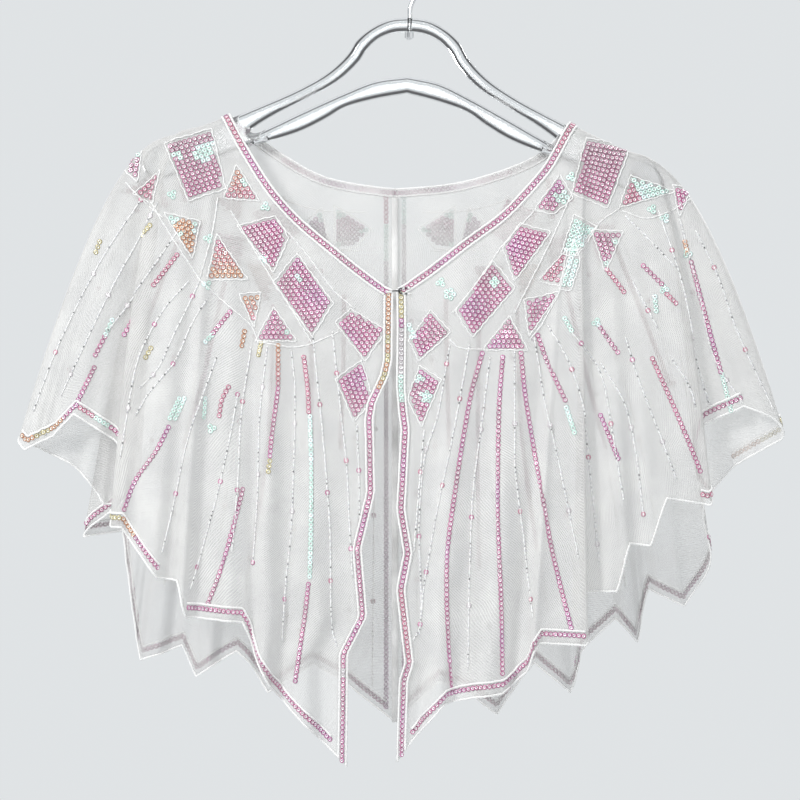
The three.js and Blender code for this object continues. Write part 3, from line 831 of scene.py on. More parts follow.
class Foil(Enum):
    """The sequins' colours as they show: the rim, the ring and the cup of each; the near-white cup is painted
    highlight with the white net seen through the eyelet.
    """

    PINK = ((0.55, 0.17, 0.33), (0.98, 0.82, 0.9), (1.0, 0.96, 0.98))
    ROSE = ((0.57, 0.2, 0.3), (0.97, 0.79, 0.84), (1.0, 0.96, 0.96))
    LILAC = ((0.43, 0.14, 0.35), (0.92, 0.74, 0.91), (0.98, 0.94, 1.0))
    MAUVE = ((0.42, 0.22, 0.3), (0.9, 0.77, 0.82), (0.98, 0.94, 0.95))
    ORANGE = ((0.58, 0.27, 0.15), (0.98, 0.84, 0.72), (1.0, 0.97, 0.92))
    YELLOW = ((0.56, 0.48, 0.24), (0.96, 0.92, 0.74), (1.0, 1.0, 0.92))
    # MINT is painted highlight: the mint-white glare that the iridescent film throws back, fixed on the
    # sequins as a colour.
    MINT = ((0.74, 1.0, 0.91), (0.88, 1.0, 0.96), (1.0, 1.0, 1.0))
    PEARL = ((0.62, 0.57, 0.6), (0.95, 0.92, 0.94), (1.0, 0.99, 1.0))

    def towards(self, other: "Foil", share: float) -> np.ndarray:
        """Mixes this colour with another."""
        return np.array(self.value) * (1 - share) + np.array(other.value) * share


@dataclass(frozen=True)
class Glint:
    """A spot where the film throws the light straight back: a painted highlight, laid as mint-white sequins.
    """

    at: Point
    size: float


def film_colour(foil: Foil, fade: Foil, share: float, x: float, z: float) -> np.ndarray:
    """The colour of a sequin of iridescent film, which drifts slowly over the cloth.

    Args:
        foil: The colour at the start of its patch or chain.
        fade: The colour at the end.
        share: How far along it lies, from 0 to 1.
        x: Its x in millimetres.
        z: Its z in millimetres.

    Returns:
        The rim, ring and cup colours, one a row.
    """
    colour = foil.towards(fade, share)
    if foil is not Foil.PINK or fade is not Foil.PINK:
        return colour
    drift = 0.6 * math.sin(x / 9.0 + z / 17.0) + 0.4 * math.sin(z / 6.0 - x / 23.0)
    other = Foil.LILAC if drift > 0 else Foil.MAUVE
    return colour + (np.array(other.value) - colour) * 0.7 * abs(drift)


@dataclass
class SequinField:
    """Gathers ring sequins and makes them as one piece."""

    name: str
    radius: float = 2.08
    ring: float = 1.42
    cup: float = 1.02
    eyelet: float = 0.35
    sides: int = 8
    lift: float = 0.35
    stand: float = 0.45
    wobble: float = 0.12
    shades: tuple[float, float] = (0.86, 1.1)
    points: list = field(default_factory=list)
    colours: list = field(default_factory=list)

    def add(self, place: np.ndarray, normal: np.ndarray, film: np.ndarray, chance: random.Random) -> None:
        """Adds one sequin on the cloth.

        Args:
            place: Its middle on the cloth.
            normal: The cloth's outward normal.
            film: The colours of its rim, ring and cup.
            chance: The seeded source of its small tilt.
        """
        tilt = np.array([chance.uniform(-1, 1) for _ in range(3)]) * self.wobble
        up = normal / np.linalg.norm(normal) + tilt
        up /= np.linalg.norm(up)
        across = np.cross(up, (0.0, 0.0, 1.0)) if abs(up[2]) < 0.9 else np.cross(up, (1.0, 0.0, 0.0))
        across /= np.linalg.norm(across)
        other = np.cross(up, across)
        middle = place + normal * self.stand
        angles = np.arange(self.sides) * 2 * math.pi / self.sides
        wheel = np.cos(angles)[:, None] * across + np.sin(angles)[:, None] * other
        shade = chance.uniform(*self.shades)
        # The eyelet ring takes the near-white cup colour: painted highlight where the cupped film catches the
        # light, with the white net seen through the eyelet.
        for radius, height, colour in (
            (self.radius, 0.0, film[0]), (self.ring, self.lift, film[0]),
            (self.cup, self.lift * 0.6, film[1]), (self.eyelet, -self.lift * 0.2, film[2]),
        ):
            self.points.append(middle + wheel * radius + up * height)
            self.colours.append(np.clip(np.tile(colour * shade, (self.sides, 1)), 0, 1))

    def build(self, material: bpy.types.Material) -> bpy.types.Object:
        """Makes the piece from all the sequins that were added.

        Args:
            material: The sequins' finish.

        Returns:
            The piece.
        """
        side = np.arange(self.sides)
        after = (side + 1) % self.sides
        one = np.vstack([
            np.stack([a * self.sides + side, a * self.sides + after, b * self.sides + after,
                      b * self.sides + side], axis=-1)
            for a, b in ((0, 1), (1, 2), (2, 3), (3, 0))
        ])
        return build_copies(self.name, self.points, self.colours, one, material)


@dataclass
class CordField:
    """Gathers thin cords that lie on the cloth and makes them as one piece."""

    name: str
    radius: float
    sides: int
    pitch: float
    bump: float = 0.0
    bump_length: float = 3.0
    lift: float = 0.8
    sway: float = 0.0
    points: list = field(default_factory=list)
    faces: list = field(default_factory=list)
    total: int = 0

    def add(self, line: np.ndarray, normals: np.ndarray, closed: bool = False) -> None:
        """Adds one cord along a line on the cloth.

        Args:
            line: The line's points.
            normals: The cloth's outward normals there.
            closed: Whether the cord runs back into its start.
        """
        if closed:
            line = np.vstack([line, line[:1]])
            normals = np.vstack([normals, normals[:1]])
        along = lengths_along(line)
        if along[-1] < 2 * self.pitch:
            return
        count = max(int(along[-1] / self.pitch), 3)
        want = np.linspace(0, along[-1], count + 1)
        if closed:
            want = want[:-1]
        middle, out = read_line(line, along, want), read_line(normals, along, want)
        out /= np.maximum(np.linalg.norm(out, axis=1, keepdims=True), 1e-9)
        if closed:
            run = np.roll(middle, -1, axis=0) - np.roll(middle, 1, axis=0)
        else:
            run = np.gradient(middle, axis=0)
        run /= np.maximum(np.linalg.norm(run, axis=1, keepdims=True), 1e-9)
        across = np.cross(run, out)
        across /= np.maximum(np.linalg.norm(across, axis=1, keepdims=True), 1e-9)
        up = np.cross(across, run)
        swell = self.radius * (1 + self.bump * np.sin(want * 2 * math.pi / self.bump_length))
        sway = self.sway * (np.sin(want * 0.83 + self.total) + 0.7 * np.sin(want * 0.31 + 2 * self.total))
        middle = middle + out * self.radius * self.lift + across * sway[:, None]
        angles = np.arange(self.sides) * 2 * math.pi / self.sides
        rings = middle[:, None, :] + swell[:, None, None] * (
            np.cos(angles)[None, :, None] * across[:, None, :]
            + np.sin(angles)[None, :, None] * up[:, None, :]
        )
        sections = len(middle)
        at = np.arange(sections * self.sides).reshape(sections, self.sides) + self.total
        ahead = np.roll(at, -1, axis=0) if closed else at[1:]
        here = at if closed else at[:-1]
        quads = np.stack([here, np.roll(here, -1, axis=1), np.roll(ahead, -1, axis=1), ahead], axis=-1)
        self.faces += quads.reshape(-1, 4)[:, ::-1].tolist()
        if not closed:
            self.faces += [at[0].tolist(), at[-1][::-1].tolist()]
        self.points.append(rings.reshape(-1, 3))
        self.total += sections * self.sides

    def build(self, slot: str, material: bpy.types.Material) -> bpy.types.Object:
        """Makes the piece from all the cords that were added.

        Args:
            slot: A material slot's name, which is not used.
            material: The cords' finish.

        Returns:
            The piece.
        """
        piece = new_piece(self.name, np.vstack(self.points), self.faces)
        dress(piece, material)
        return piece


@dataclass
class BeadField:
    """Gathers small cut beads and makes them as one piece."""

    name: str
    radius: float = 0.75
    stretch: float = 1.25
    shades: tuple[float, ...] = (0.16, 0.4, 0.7, 0.85, 0.95, 0.95)
    points: list = field(default_factory=list)
    colours: list = field(default_factory=list)

    def add(self, place: np.ndarray, normal: np.ndarray, along: np.ndarray, chance: random.Random) -> None:
        """Adds one bead, long the way the thread runs.

        Args:
            place: Its middle on the cloth.
            normal: The cloth's outward normal.
            along: The thread's direction.
            chance: The seeded source of its size and shade.
        """
        run = along / max(float(np.linalg.norm(along)), 1e-9)
        side = np.cross(run, normal)
        side /= max(float(np.linalg.norm(side)), 1e-9)
        size = self.radius * chance.uniform(0.8, 1.15)
        middle = place + normal * size * 0.9
        self.points.append(np.array([
            middle + run * size * self.stretch, middle + side * size, middle + normal * size,
            middle - side * size, middle - normal * size, middle - run * size * self.stretch,
        ]))
        shade = chance.choice(self.shades)
        self.colours.append(np.tile([shade, shade, shade * 1.05], (6, 1)))

    def build(self, material: bpy.types.Material) -> bpy.types.Object:
        """Makes the piece from all the beads that were added.

        Args:
            material: The beads' finish.

        Returns:
            The piece.
        """
        top = [[0, 2, 1], [0, 3, 2], [0, 4, 3], [0, 1, 4]]
        one = np.array(top + [[5, 1, 2], [5, 2, 3], [5, 3, 4], [5, 4, 1]])
        return build_copies(self.name, self.points, self.colours, one, material)


@dataclass(frozen=True)
class Ground:
    """The cloth that a chart is laid on: the front, or one half of the back."""

    face: Face
    mirror: bool = False

    def place(self, points: tuple[Point, ...]) -> list[Point]:
        """Turns charted points into the part's x and z. The back's chart starts at the centre back."""
        if self.face is Face.FRONT:
            return list(points)
        return [(CENTRE_BACK_X + (-x if self.mirror else x), z) for x, z in points]

    def field(self, x: float) -> str:
        """The name of the field that a place belongs to."""
        return f"{self.face.name.lower()}_{'left' if x < CENTRE_BACK_X else 'right'}"


FRONT_GROUND = Ground(Face.FRONT)
BACK_GROUNDS = (Ground(Face.BACK), Ground(Face.BACK, mirror=True))


@dataclass(frozen=True)
class Patch:
    """A corner-by-corner sequin patch, in millimetres of x and z, which may fade to another colour."""

    corners: tuple[Point, ...]
    foil: Foil = Foil.PINK
    fade: Foil | None = None


@dataclass(frozen=True)
class Chain:
    """A line of sequins through given points, in millimetres of x and z."""

    points: tuple[Point, ...]
    foil: Foil = Foil.PINK
    fade: Foil | None = None


FRONT_PATCHES = (
    Patch(((-185, -155), (-152, -145), (-142, -187), (-168, -196)), Foil.MAUVE, Foil.PINK),
    Patch(((-219, -171), (-206, -159), (-209, -181))),
    Patch(((-209, -192), (-192, -177), (-197, -198)), Foil.ROSE),
    Patch(((-131, -173), (-116, -197), (-139, -195)), Foil.ORANGE, Foil.ROSE),
    Patch(((-185, -210), (-162, -216), (-166, -241)), Foil.ORANGE),
    Patch(((-146, -227), (-125, -258), (-152, -258)), Foil.PINK, Foil.ORANGE),
    Patch(((-128, -219), (-102, -213), (-94, -227), (-103, -251))),
    Patch(((-84, -242), (-59, -277), (-73, -301), (-100, -263))),
    Patch(((-127, -273), (-114, -272), (-118, -294)), Foil.ORANGE, Foil.ROSE),
    Patch(((-102, -284), (-87, -306), (-114, -306))),
    Patch(((-42, -285), (-18, -299), (-32, -320), (-52, -294))),
    Patch(((-35, -325), (-28, -351), (-40, -367), (-52, -338))),
    Patch(((141, -152), (172, -158), (156, -201), (131, -191)), Foil.MAUVE, Foil.PINK),
    Patch(((176, -181), (207, -191), (168, -202)), Foil.ROSE),
    Patch(((209, -188), (219, -191), (213, -208))),
    Patch(((119, -181), (127, -196), (115, -206), (102, -204))),
    Patch(((131, -212), (146, -220), (133, -238), (122, -238)), Foil.MINT),
    Patch(((146, -223), (166, -224), (155, -251))),
    Patch(((124, -238), (118, -262), (105, -259)), Foil.ROSE),
    Patch(((130, -231), (133, -247), (128, -265), (120, -265)), Foil.MINT),
    Patch(((89, -219), (110, -224), (85, -258), (78, -235))),
    Patch(((67, -248), (82, -267), (52, -302), (41, -283))),
    Patch(((80, -291), (92, -313), (62, -313))),
    Patch(((94, -277), (117, -271), (96, -301))),
    Patch(((19, -286), (32, -301), (11, -320), (5, -306))),
    Patch(((11, -329), (25, -339), (12, -371), (4, -351))),
)
# Painted highlights: sequins of the front inside these spots take the mint-white glare colour.
FRONT_GLINTS = (
    Glint((-207, -162), 4), Glint((-176, -163), 4), Glint((-158, -162), 7), Glint((-152, -156), 3),
    Glint((-179, -213), 5), Glint((-178, -225), 4), Glint((-161, -220), 4), Glint((-125, -184), 2.5),
    Glint((-83, -259), 3), Glint((-90, -300), 3), Glint((192, -184), 15), Glint((121, -197), 6),
    Glint((153, -249), 5), Glint((165, -231), 3), Glint((122, -274), 6), Glint((76, -252), 3),
    Glint((68, -262), 3.5), Glint((16, -350), 4.5), Glint((11, -337), 3),
)
# Painted glints that lie off the patches: small clusters of mint-white sequins.
FRONT_GLINT_SPOTS = (
    Glint((107, -177), 3.5), Glint((128, -180), 3.6), Glint((191, -205), 3.6), Glint((201, -212), 3.4),
    Glint((200, -267), 3.4), Glint((219, -239), 3), Glint((-181, -194), 2.6), Glint((-109, -203), 3.4),
    Glint((-153, -228), 3), Glint((-110, -243), 3), Glint((-154, -264), 3), Glint((148, -293), 3),
    Glint((-150, -375), 3.2), Glint((34, -271), 4.6), Glint((27, -262), 2.6), Glint((2, -297), 3),
    Glint((6, -303), 3.2),
)
# One half of the back yoke, measured from the centre back seam: the other half mirrors it.
BACK_PATCHES = (
    Patch(((21, -219), (46, -203), (46, -233), (32, -231)), Foil.PINK, Foil.PEARL),
    Patch(((52, -233), (58, -205), (70, -217), (60, -231)), Foil.LILAC, Foil.PEARL),
    Patch(((62, -248), (84, -249), (72, -272)), Foil.PINK),
    Patch(((88, -196), (112, -206), (96, -236), (76, -222))),
    Patch(((118, -178), (140, -196), (122, -212)), Foil.ROSE),
    Patch(((146, -158), (178, -156), (166, -198), (140, -186)), Foil.MAUVE, Foil.PINK),
    Patch(((186, -176), (212, -190), (178, -202)), Foil.ROSE),
    Patch(((95, -248), (116, -246), (101, -277)), Foil.ORANGE, Foil.ROSE),
    Patch(((118, -226), (140, -222), (124, -254))), Patch(((150, -214), (172, -216), (160, -246))),
)
FRONT_CHAINS = (
    Chain(((-99, -311), (-99, -340)), Foil.ORANGE, Foil.ROSE),
    Chain(((-99, -344), (-103, -376), (-105, -396))),
    Chain(((-105, -400), (-106, -408)), Foil.YELLOW),
    Chain(((-79, -320), (-76, -344), (-75, -362)), Foil.ROSE),
    Chain(((-74, -366), (-73, -400), (-73, -440), (-74, -489)), Foil.MINT),
    Chain(((-75, -495), (-78, -520), (-82, -548), (-85, -569))),
    Chain(((-126, -422), (-137, -466), (-144, -488), (-152, -509))),
    Chain(((-137, -343), (-142, -353), (-144, -365)), Foil.ROSE),
    Chain(((-136, -285), (-149, -301))), Chain(((-150, -303), (-155, -308)), Foil.MINT),
    Chain(((-125, -300), (-127, -311)), Foil.ORANGE), Chain(((-112, -309), (-114, -318)), Foil.YELLOW),
    Chain(((-175, -352), (-182, -367)), Foil.MINT), Chain(((-171, -352), (-178, -367)), Foil.MINT),
    Chain(((-183, -374), (-192, -392), (-209, -416), (-217, -437))),
    Chain(((-155, -352), (-156, -366)), Foil.MINT),
    Chain(((-177, -241), (-195, -264)), Foil.ROSE), Chain(((-228, -291), (-233, -302)), Foil.MINT),
    Chain(((-234, -304), (-241, -318))), Chain(((-242, -328), (-254, -353))),
    Chain(((-213, -292), (-219, -302))), Chain(((-238, -230), (-241, -238)), Foil.YELLOW),
    Chain(((-197, -313), (-201, -320)), Foil.YELLOW), Chain(((-198, -218), (-204, -225)), Foil.YELLOW),
    Chain(((59, -317), (51, -345), (45, -377), (38, -422), (32, -471), (32, -530), (35, -575))),
    Chain(((75, -320), (72, -359), (71, -414), (71, -442), (73, -510), (74, -563))),
    Chain(((89, -317), (92, -349), (98, -386), (102, -408), (112, -467), (120, -500), (127, -528))),
    Chain(((102, -303), (110, -325), (123, -353))), Chain(((124, -359), (130, -378)), Foil.MINT),
    Chain(((156, -252), (169, -269)), Foil.ROSE), Chain(((151, -297), (164, -316))),
    Chain(((151, -365), (164, -398))), Chain(((191, -321), (210, -364), (228, -408)), Foil.ROSE, Foil.PINK),
    Chain(((184, -249), (198, -263))), Chain(((202, -271), (209, -278)), Foil.ROSE),
    Chain(((217, -230), (219, -239)), Foil.ORANGE), Chain(((222, -246), (233, -287), (245, -331))),
    Chain(((246, -333), (253, -361)), Foil.MINT), Chain(((123, -290), (128, -299)), Foil.MINT),
    Chain(((193, -273), (194, -284)), Foil.MINT),
)
# Painted highlights on the back, as on the front.
BACK_GLINTS = (Glint((44, -207), 4), Glint((24, -220), 3), Glint((58, -209), 4), Glint((44, -231), 3))
# The chains beside the centre-back seam: the viewer's right, and then the left.
CENTRE_CHAINS = (
    (Chain(((7, -195), (7, -213)), Foil.MINT),
     Chain(((7, -217), (7, -400), (7, -596)), Foil.PEARL, Foil.LILAC)),
    (Chain(((7, -195), (7, -213)), Foil.ROSE), Chain(((7, -217), (7, -242)), Foil.MINT),
     Chain(((7, -246), (7, -400), (7, -596)), Foil.PEARL, Foil.LILAC)),
)
BACK_CHAINS = (
    Chain(((66, -290), (65, -400), (66, -485))), Chain(((96, -280), (100, -380), (112, -470))),
    Chain(((40, -272), (41, -330), (43, -390)), Foil.ROSE), Chain(((134, -262), (150, -330), (166, -390))),
    Chain(((172, -230), (196, -290), (216, -340)), Foil.ROSE),
)
FRONT_THREADS = (
    ((-168, -261), (-189, -286), (-206, -319), (-214, -358), (-220, -398)),
    ((-154, -275), (-167, -297), (-179, -324), (-199, -349), (-209, -365)),
    ((-146, -319), (-159, -355), (-169, -388), (-177, -424), (-188, -470)),
    ((-130, -347), (-137, -388), (-146, -428), (-152, -450), (-166, -498)),
    ((-107, -311), (-113, -368), (-114, -421), (-116, -455), (-118, -480)),
    ((-89, -315), (-86, -342), (-87, -408), (-89, -460), (-93, -494), (-96, -539)),
    ((-72, -304), (-65, -374), (-59, -452), (-57, -530), (-53, -543)),
    ((-57, -300), (-50, -367), (-46, -403), (-44, -442), (-41, -490)),
    ((-192, -200), (-226, -262), (-250, -312), (-268, -350)),
    ((-205, -196), (-240, -250), (-270, -310), (-290, -362)),
    ((-176, -222), (-208, -268), (-232, -300)), ((-160, -262), (-178, -300), (-192, -330), (-206, -344)),
    ((-120, -312), (-127, -360), (-130, -420), (-134, -470)), ((-38, -372), (-36, -420), (-36, -470)),
    ((34, -310), (24, -367), (15, -394), (10, -447), (10, -530), (2, -542)),
    ((49, -310), (41, -355), (34, -392), (25, -435), (15, -490), (10, -535)),
    ((65, -320), (59, -368), (52, -422), (49, -490), (48, -561)),
    ((84, -315), (84, -378), (84, -404), (92, -471), (98, -520)),
    ((99, -304), (110, -367), (119, -406), (133, -475)),
    ((110, -295), (126, -324), (136, -354), (139, -374), (146, -440), (150, -480)),
    ((151, -324), (169, -356), (178, -393), (184, -443)), ((176, -261), (185, -279), (195, -297)),
    ((170, -304), (182, -342), (199, -386), (209, -414)), ((206, -321), (220, -344), (224, -358)),
    ((225, -221), (243, -258), (256, -296), (278, -344), (286, -360)),
    ((170, -210), (186, -226), (209, -250)),
    ((213, -212), (228, -270), (240, -320), (262, -356)),
    ((196, -206), (214, -262), (226, -322), (236, -356)),
    ((128, -300), (150, -330), (160, -380), (168, -430)), ((14, -376), (10, -420), (6, -470)),
)
BACK_THREADS = (
    ((26, -262), (32, -400), (38, -556)), ((58, -250), (74, -400), (88, -548)),
    ((80, -240), (104, -400), (120, -520)),
    ((104, -268), (128, -400), (146, -516)), ((140, -246), (164, -380), (182, -500)),
    ((148, -240), (186, -360), (206, -450)), ((176, -220), (212, -310), (230, -400)),
    ((200, -200), (234, -270), (262, -350)), ((12, -262), (16, -400), (18, -580)),
    ((70, -500), (76, -540), (80, -560)),
)
YOKE_LINES = (
    ((-197, -200), (-188, -216), (-168, -247), (-159, -260), (-142, -276), (-119, -297), (-114, -310)),
    ((-146, -196), (-150, -222), (-160, -262)), ((-136, -206), (-112, -246), (-88, -284), (-72, -310)),
    ((-100, -214), (-80, -236), (-56, -268), (-40, -282)),
    ((-114, -308), (-84, -312), (-60, -304), (-52, -300)),
    ((128, -194), (116, -222), (96, -262), (84, -286)), ((166, -204), (150, -216), (128, -246), (118, -270)),
    ((100, -206), (76, -232), (52, -266), (36, -286)), ((60, -314), (40, -312), (34, -306)),
    ((118, -272), (104, -296), (96, -306)), ((-218, -184), (-200, -202), (-188, -212)),
    ((222, -196), (206, -206), (186, -212), (168, -206)),
)
BACK_YOKE_LINES = (
    ((22, -206), (60, -204), (100, -190), (136, -160)),
    ((28, -236), (66, -236), (104, -240), (140, -216), (176, -208)),
)


@dataclass
class NetLook:
    """The sheer net: how dense its threads are, how it gathers, its colours and the colour of its painted
    shade.
    """

    pitch: float = 0.0015
    thread_share: float = 0.46
    hole_alpha: float = 0.17
    thread_alpha: float = 0.46
    gather_alpha: float = 0.36
    mottle_alpha: float = 0.08
    colour: tuple[float, float, float] = (0.81, 0.805, 0.79)
    shade: tuple[float, float, float] = (0.745, 0.74, 0.73)
    # inner is the painted shade colour of the low inside of the back.
    inner: tuple[float, float, float] = (0.56, 0.555, 0.55)


class Nodes:
    """Short ways to place and join shader nodes in one tree."""

    def __init__(self, tree: bpy.types.NodeTree) -> None:
        """Keeps the tree."""
        self.tree = tree

    def add(self, kind: str, **settings: object) -> bpy.types.Node:
        """Adds a node.

        Args:
            kind: The node's type without its ShaderNode prefix.
            settings: The node's own settings.

        Returns:
            The new node.
        """
        node = self.tree.nodes.new(f"ShaderNode{kind}")
        for name, value in settings.items():
            setattr(node, name, value)
        return node

    def join(self, source: bpy.types.NodeSocket, target: bpy.types.NodeSocket) -> None:
        """Joins two sockets."""
        self.tree.links.new(source, target)

    def feed(self, socket: bpy.types.NodeSocket, value: object) -> None:
        """Sets a socket from a number, a colour or another socket.

        Args:
            socket: The socket to fill.
            value: What goes in.
        """
        if isinstance(value, bpy.types.NodeSocket):
            self.join(value, socket)
        elif isinstance(value, tuple) and len(value) == 3 and socket.type == "RGBA":
            socket.default_value = (*value, 1.0)
        else:
            socket.default_value = value

    def math(self, operation: str, first: object, second: object = 0.0) -> bpy.types.NodeSocket:
        """Adds a sum of two values.

        Args:
            operation: Blender's name for the sum.
            first: The first value.
            second: The second value.

        Returns:
            The result's socket.
        """
        node = self.add("Math", operation=operation)
        self.feed(node.inputs[0], first)
        if len(node.inputs) > 1:
            self.feed(node.inputs[1], second)
        return node.outputs[0]

    def ramp(self, value: object, low: float, high: float, to_low: float = 0.0, to_high: float = 1.0
             ) -> bpy.types.NodeSocket:
        """Stretches a range of values to another, smoothly.

        Args:
            value: What is stretched.
            low: The value that becomes to_low.
            high: The value that becomes to_high.
            to_low: The least result.
            to_high: The greatest result.

        Returns:
            The result's socket.
        """
        node = self.add("MapRange", interpolation_type="SMOOTHSTEP")
        for at, given in enumerate((value, low, high, to_low, to_high)):
            self.feed(node.inputs[at], given)
        return node.outputs[0]

    def mix(self, share: object, first: object, second: object) -> bpy.types.NodeSocket:
        """Mixes two colours.

        Args:
            share: How much of the second shows.
            first: The first colour.
            second: The second colour.

        Returns:
            The mixed colour's socket.
        """
        node = self.add("Mix", data_type="RGBA")
        self.feed(node.inputs["Factor"], share)
        self.feed(node.inputs[6], first)
        self.feed(node.inputs[7], second)
        return node.outputs[2]

    def noise(self, vector: object, scale: object, detail: float) -> bpy.types.NodeSocket:
        """Adds noise.

        Args:
            vector: Where it is read.
            scale: How fine it is, per metre.
            detail: How many finer layers it has.

        Returns:
            The noise's socket.
        """
        node = self.add("TexNoise")
        self.feed(node.inputs["Vector"], vector)
        self.feed(node.inputs["Scale"], scale)
        self.feed(node.inputs["Detail"], detail)
        return node.outputs[0]


def new_group(name: str, inputs: dict[str, str], outputs: dict[str, str]
              ) -> tuple[bpy.types.NodeTree, Nodes, bpy.types.Node, bpy.types.Node]:
    """Starts a shared effect as a node group.

    Args:
        name: The effect's name.
        inputs: Its inputs' names and socket types.
        outputs: Its outputs' names and socket types.

    Returns:
        The group, its node helper, its input node and its output node.
    """
    tree = bpy.data.node_groups.new(name, "ShaderNodeTree")
    for label, kind in inputs.items():
        tree.interface.new_socket(name=label, in_out="INPUT", socket_type=kind)
    for label, kind in outputs.items():
        tree.interface.new_socket(name=label, in_out="OUTPUT", socket_type=kind)
    start = tree.nodes.new("NodeGroupInput")
    end = tree.nodes.new("NodeGroupOutput")
    return tree, Nodes(tree), start, end


class SharedEffects:
    """The effects that more than one finish uses: net weave, fibre grain and handling marks."""

    def __init__(self) -> None:
        """Builds each effect once."""
        self.weave = self._weave()
        self.grain = self._grain()
        self.marks = self._marks()

    @staticmethod
    def _weave() -> bpy.types.NodeTree:
        """Two sets of slanting threads that make diamond net.

        Returns:
            The group, with a mask of the threads.
        """
        tree, nodes, start, end = new_group(
            "Net weave",
            {"Vector": "NodeSocketVector", "Pitch": "NodeSocketFloat", "Thread Share": "NodeSocketFloat"},
            {"Threads": "NodeSocketFloat"},
        )
        slant = 0.6
        parts = nodes.add("SeparateXYZ")
        nodes.join(start.outputs["Vector"], parts.inputs[0])
        lean = nodes.math("MULTIPLY", parts.outputs[1], slant)
        edge = nodes.math("SUBTRACT", 1.0, start.outputs["Thread Share"])
        masks = []
        for way in ("ADD", "SUBTRACT"):
            place = nodes.math("DIVIDE", nodes.math(way, parts.outputs[0], lean), start.outputs["Pitch"])
            off = nodes.math("ABSOLUTE", nodes.math("SUBTRACT", nodes.math("FRACT", place), 0.5))
            near = nodes.math("MULTIPLY", off, 2.0)
            mask = nodes.add("MapRange", interpolation_type="SMOOTHSTEP")
            nodes.join(near, mask.inputs[0])
            nodes.join(edge, mask.inputs[1])
            masks.append(mask.outputs[0])
        nodes.join(nodes.math("MAXIMUM", masks[0], masks[1]), end.inputs["Threads"])
        return tree

    @staticmethod
    def _grain() -> bpy.types.NodeTree:
        """Fine fibres and soft mottling of thread and cloth.

        Returns:
            The group, with a height and a mottling mask.
        """
        tree, nodes, start, end = new_group(
            "Fibre grain",
            {"Vector": "NodeSocketVector", "Scale": "NodeSocketFloat"},
            {"Height": "NodeSocketFloat", "Mottle": "NodeSocketFloat"},
        )
        fine = nodes.noise(start.outputs["Vector"], start.outputs["Scale"], 3.0)
        nodes.join(fine, end.inputs["Height"])
        broad = nodes.noise(start.outputs["Vector"], 34.0, 3.0)
        nodes.join(nodes.ramp(broad, 0.35, 0.7), end.inputs["Mottle"])
        return tree

    @staticmethod
    def _marks() -> bpy.types.NodeTree:
        """Faint marks of handling on hard, smooth pieces.

        Returns:
            The group, with a roughness.
        """
        tree, nodes, start, end = new_group(
            "Handling marks",
            {"Vector": "NodeSocketVector", "Least": "NodeSocketFloat", "Most": "NodeSocketFloat"},
            {"Roughness": "NodeSocketFloat"},
        )
        smear = nodes.noise(start.outputs["Vector"], 60.0, 4.0)
        mask = nodes.ramp(smear, 0.45, 0.75)
        span = nodes.math("SUBTRACT", start.outputs["Most"], start.outputs["Least"])
        rough = nodes.math("ADD", start.outputs["Least"], nodes.math("MULTIPLY", mask, span))
        nodes.join(rough, end.inputs["Roughness"])
        return tree


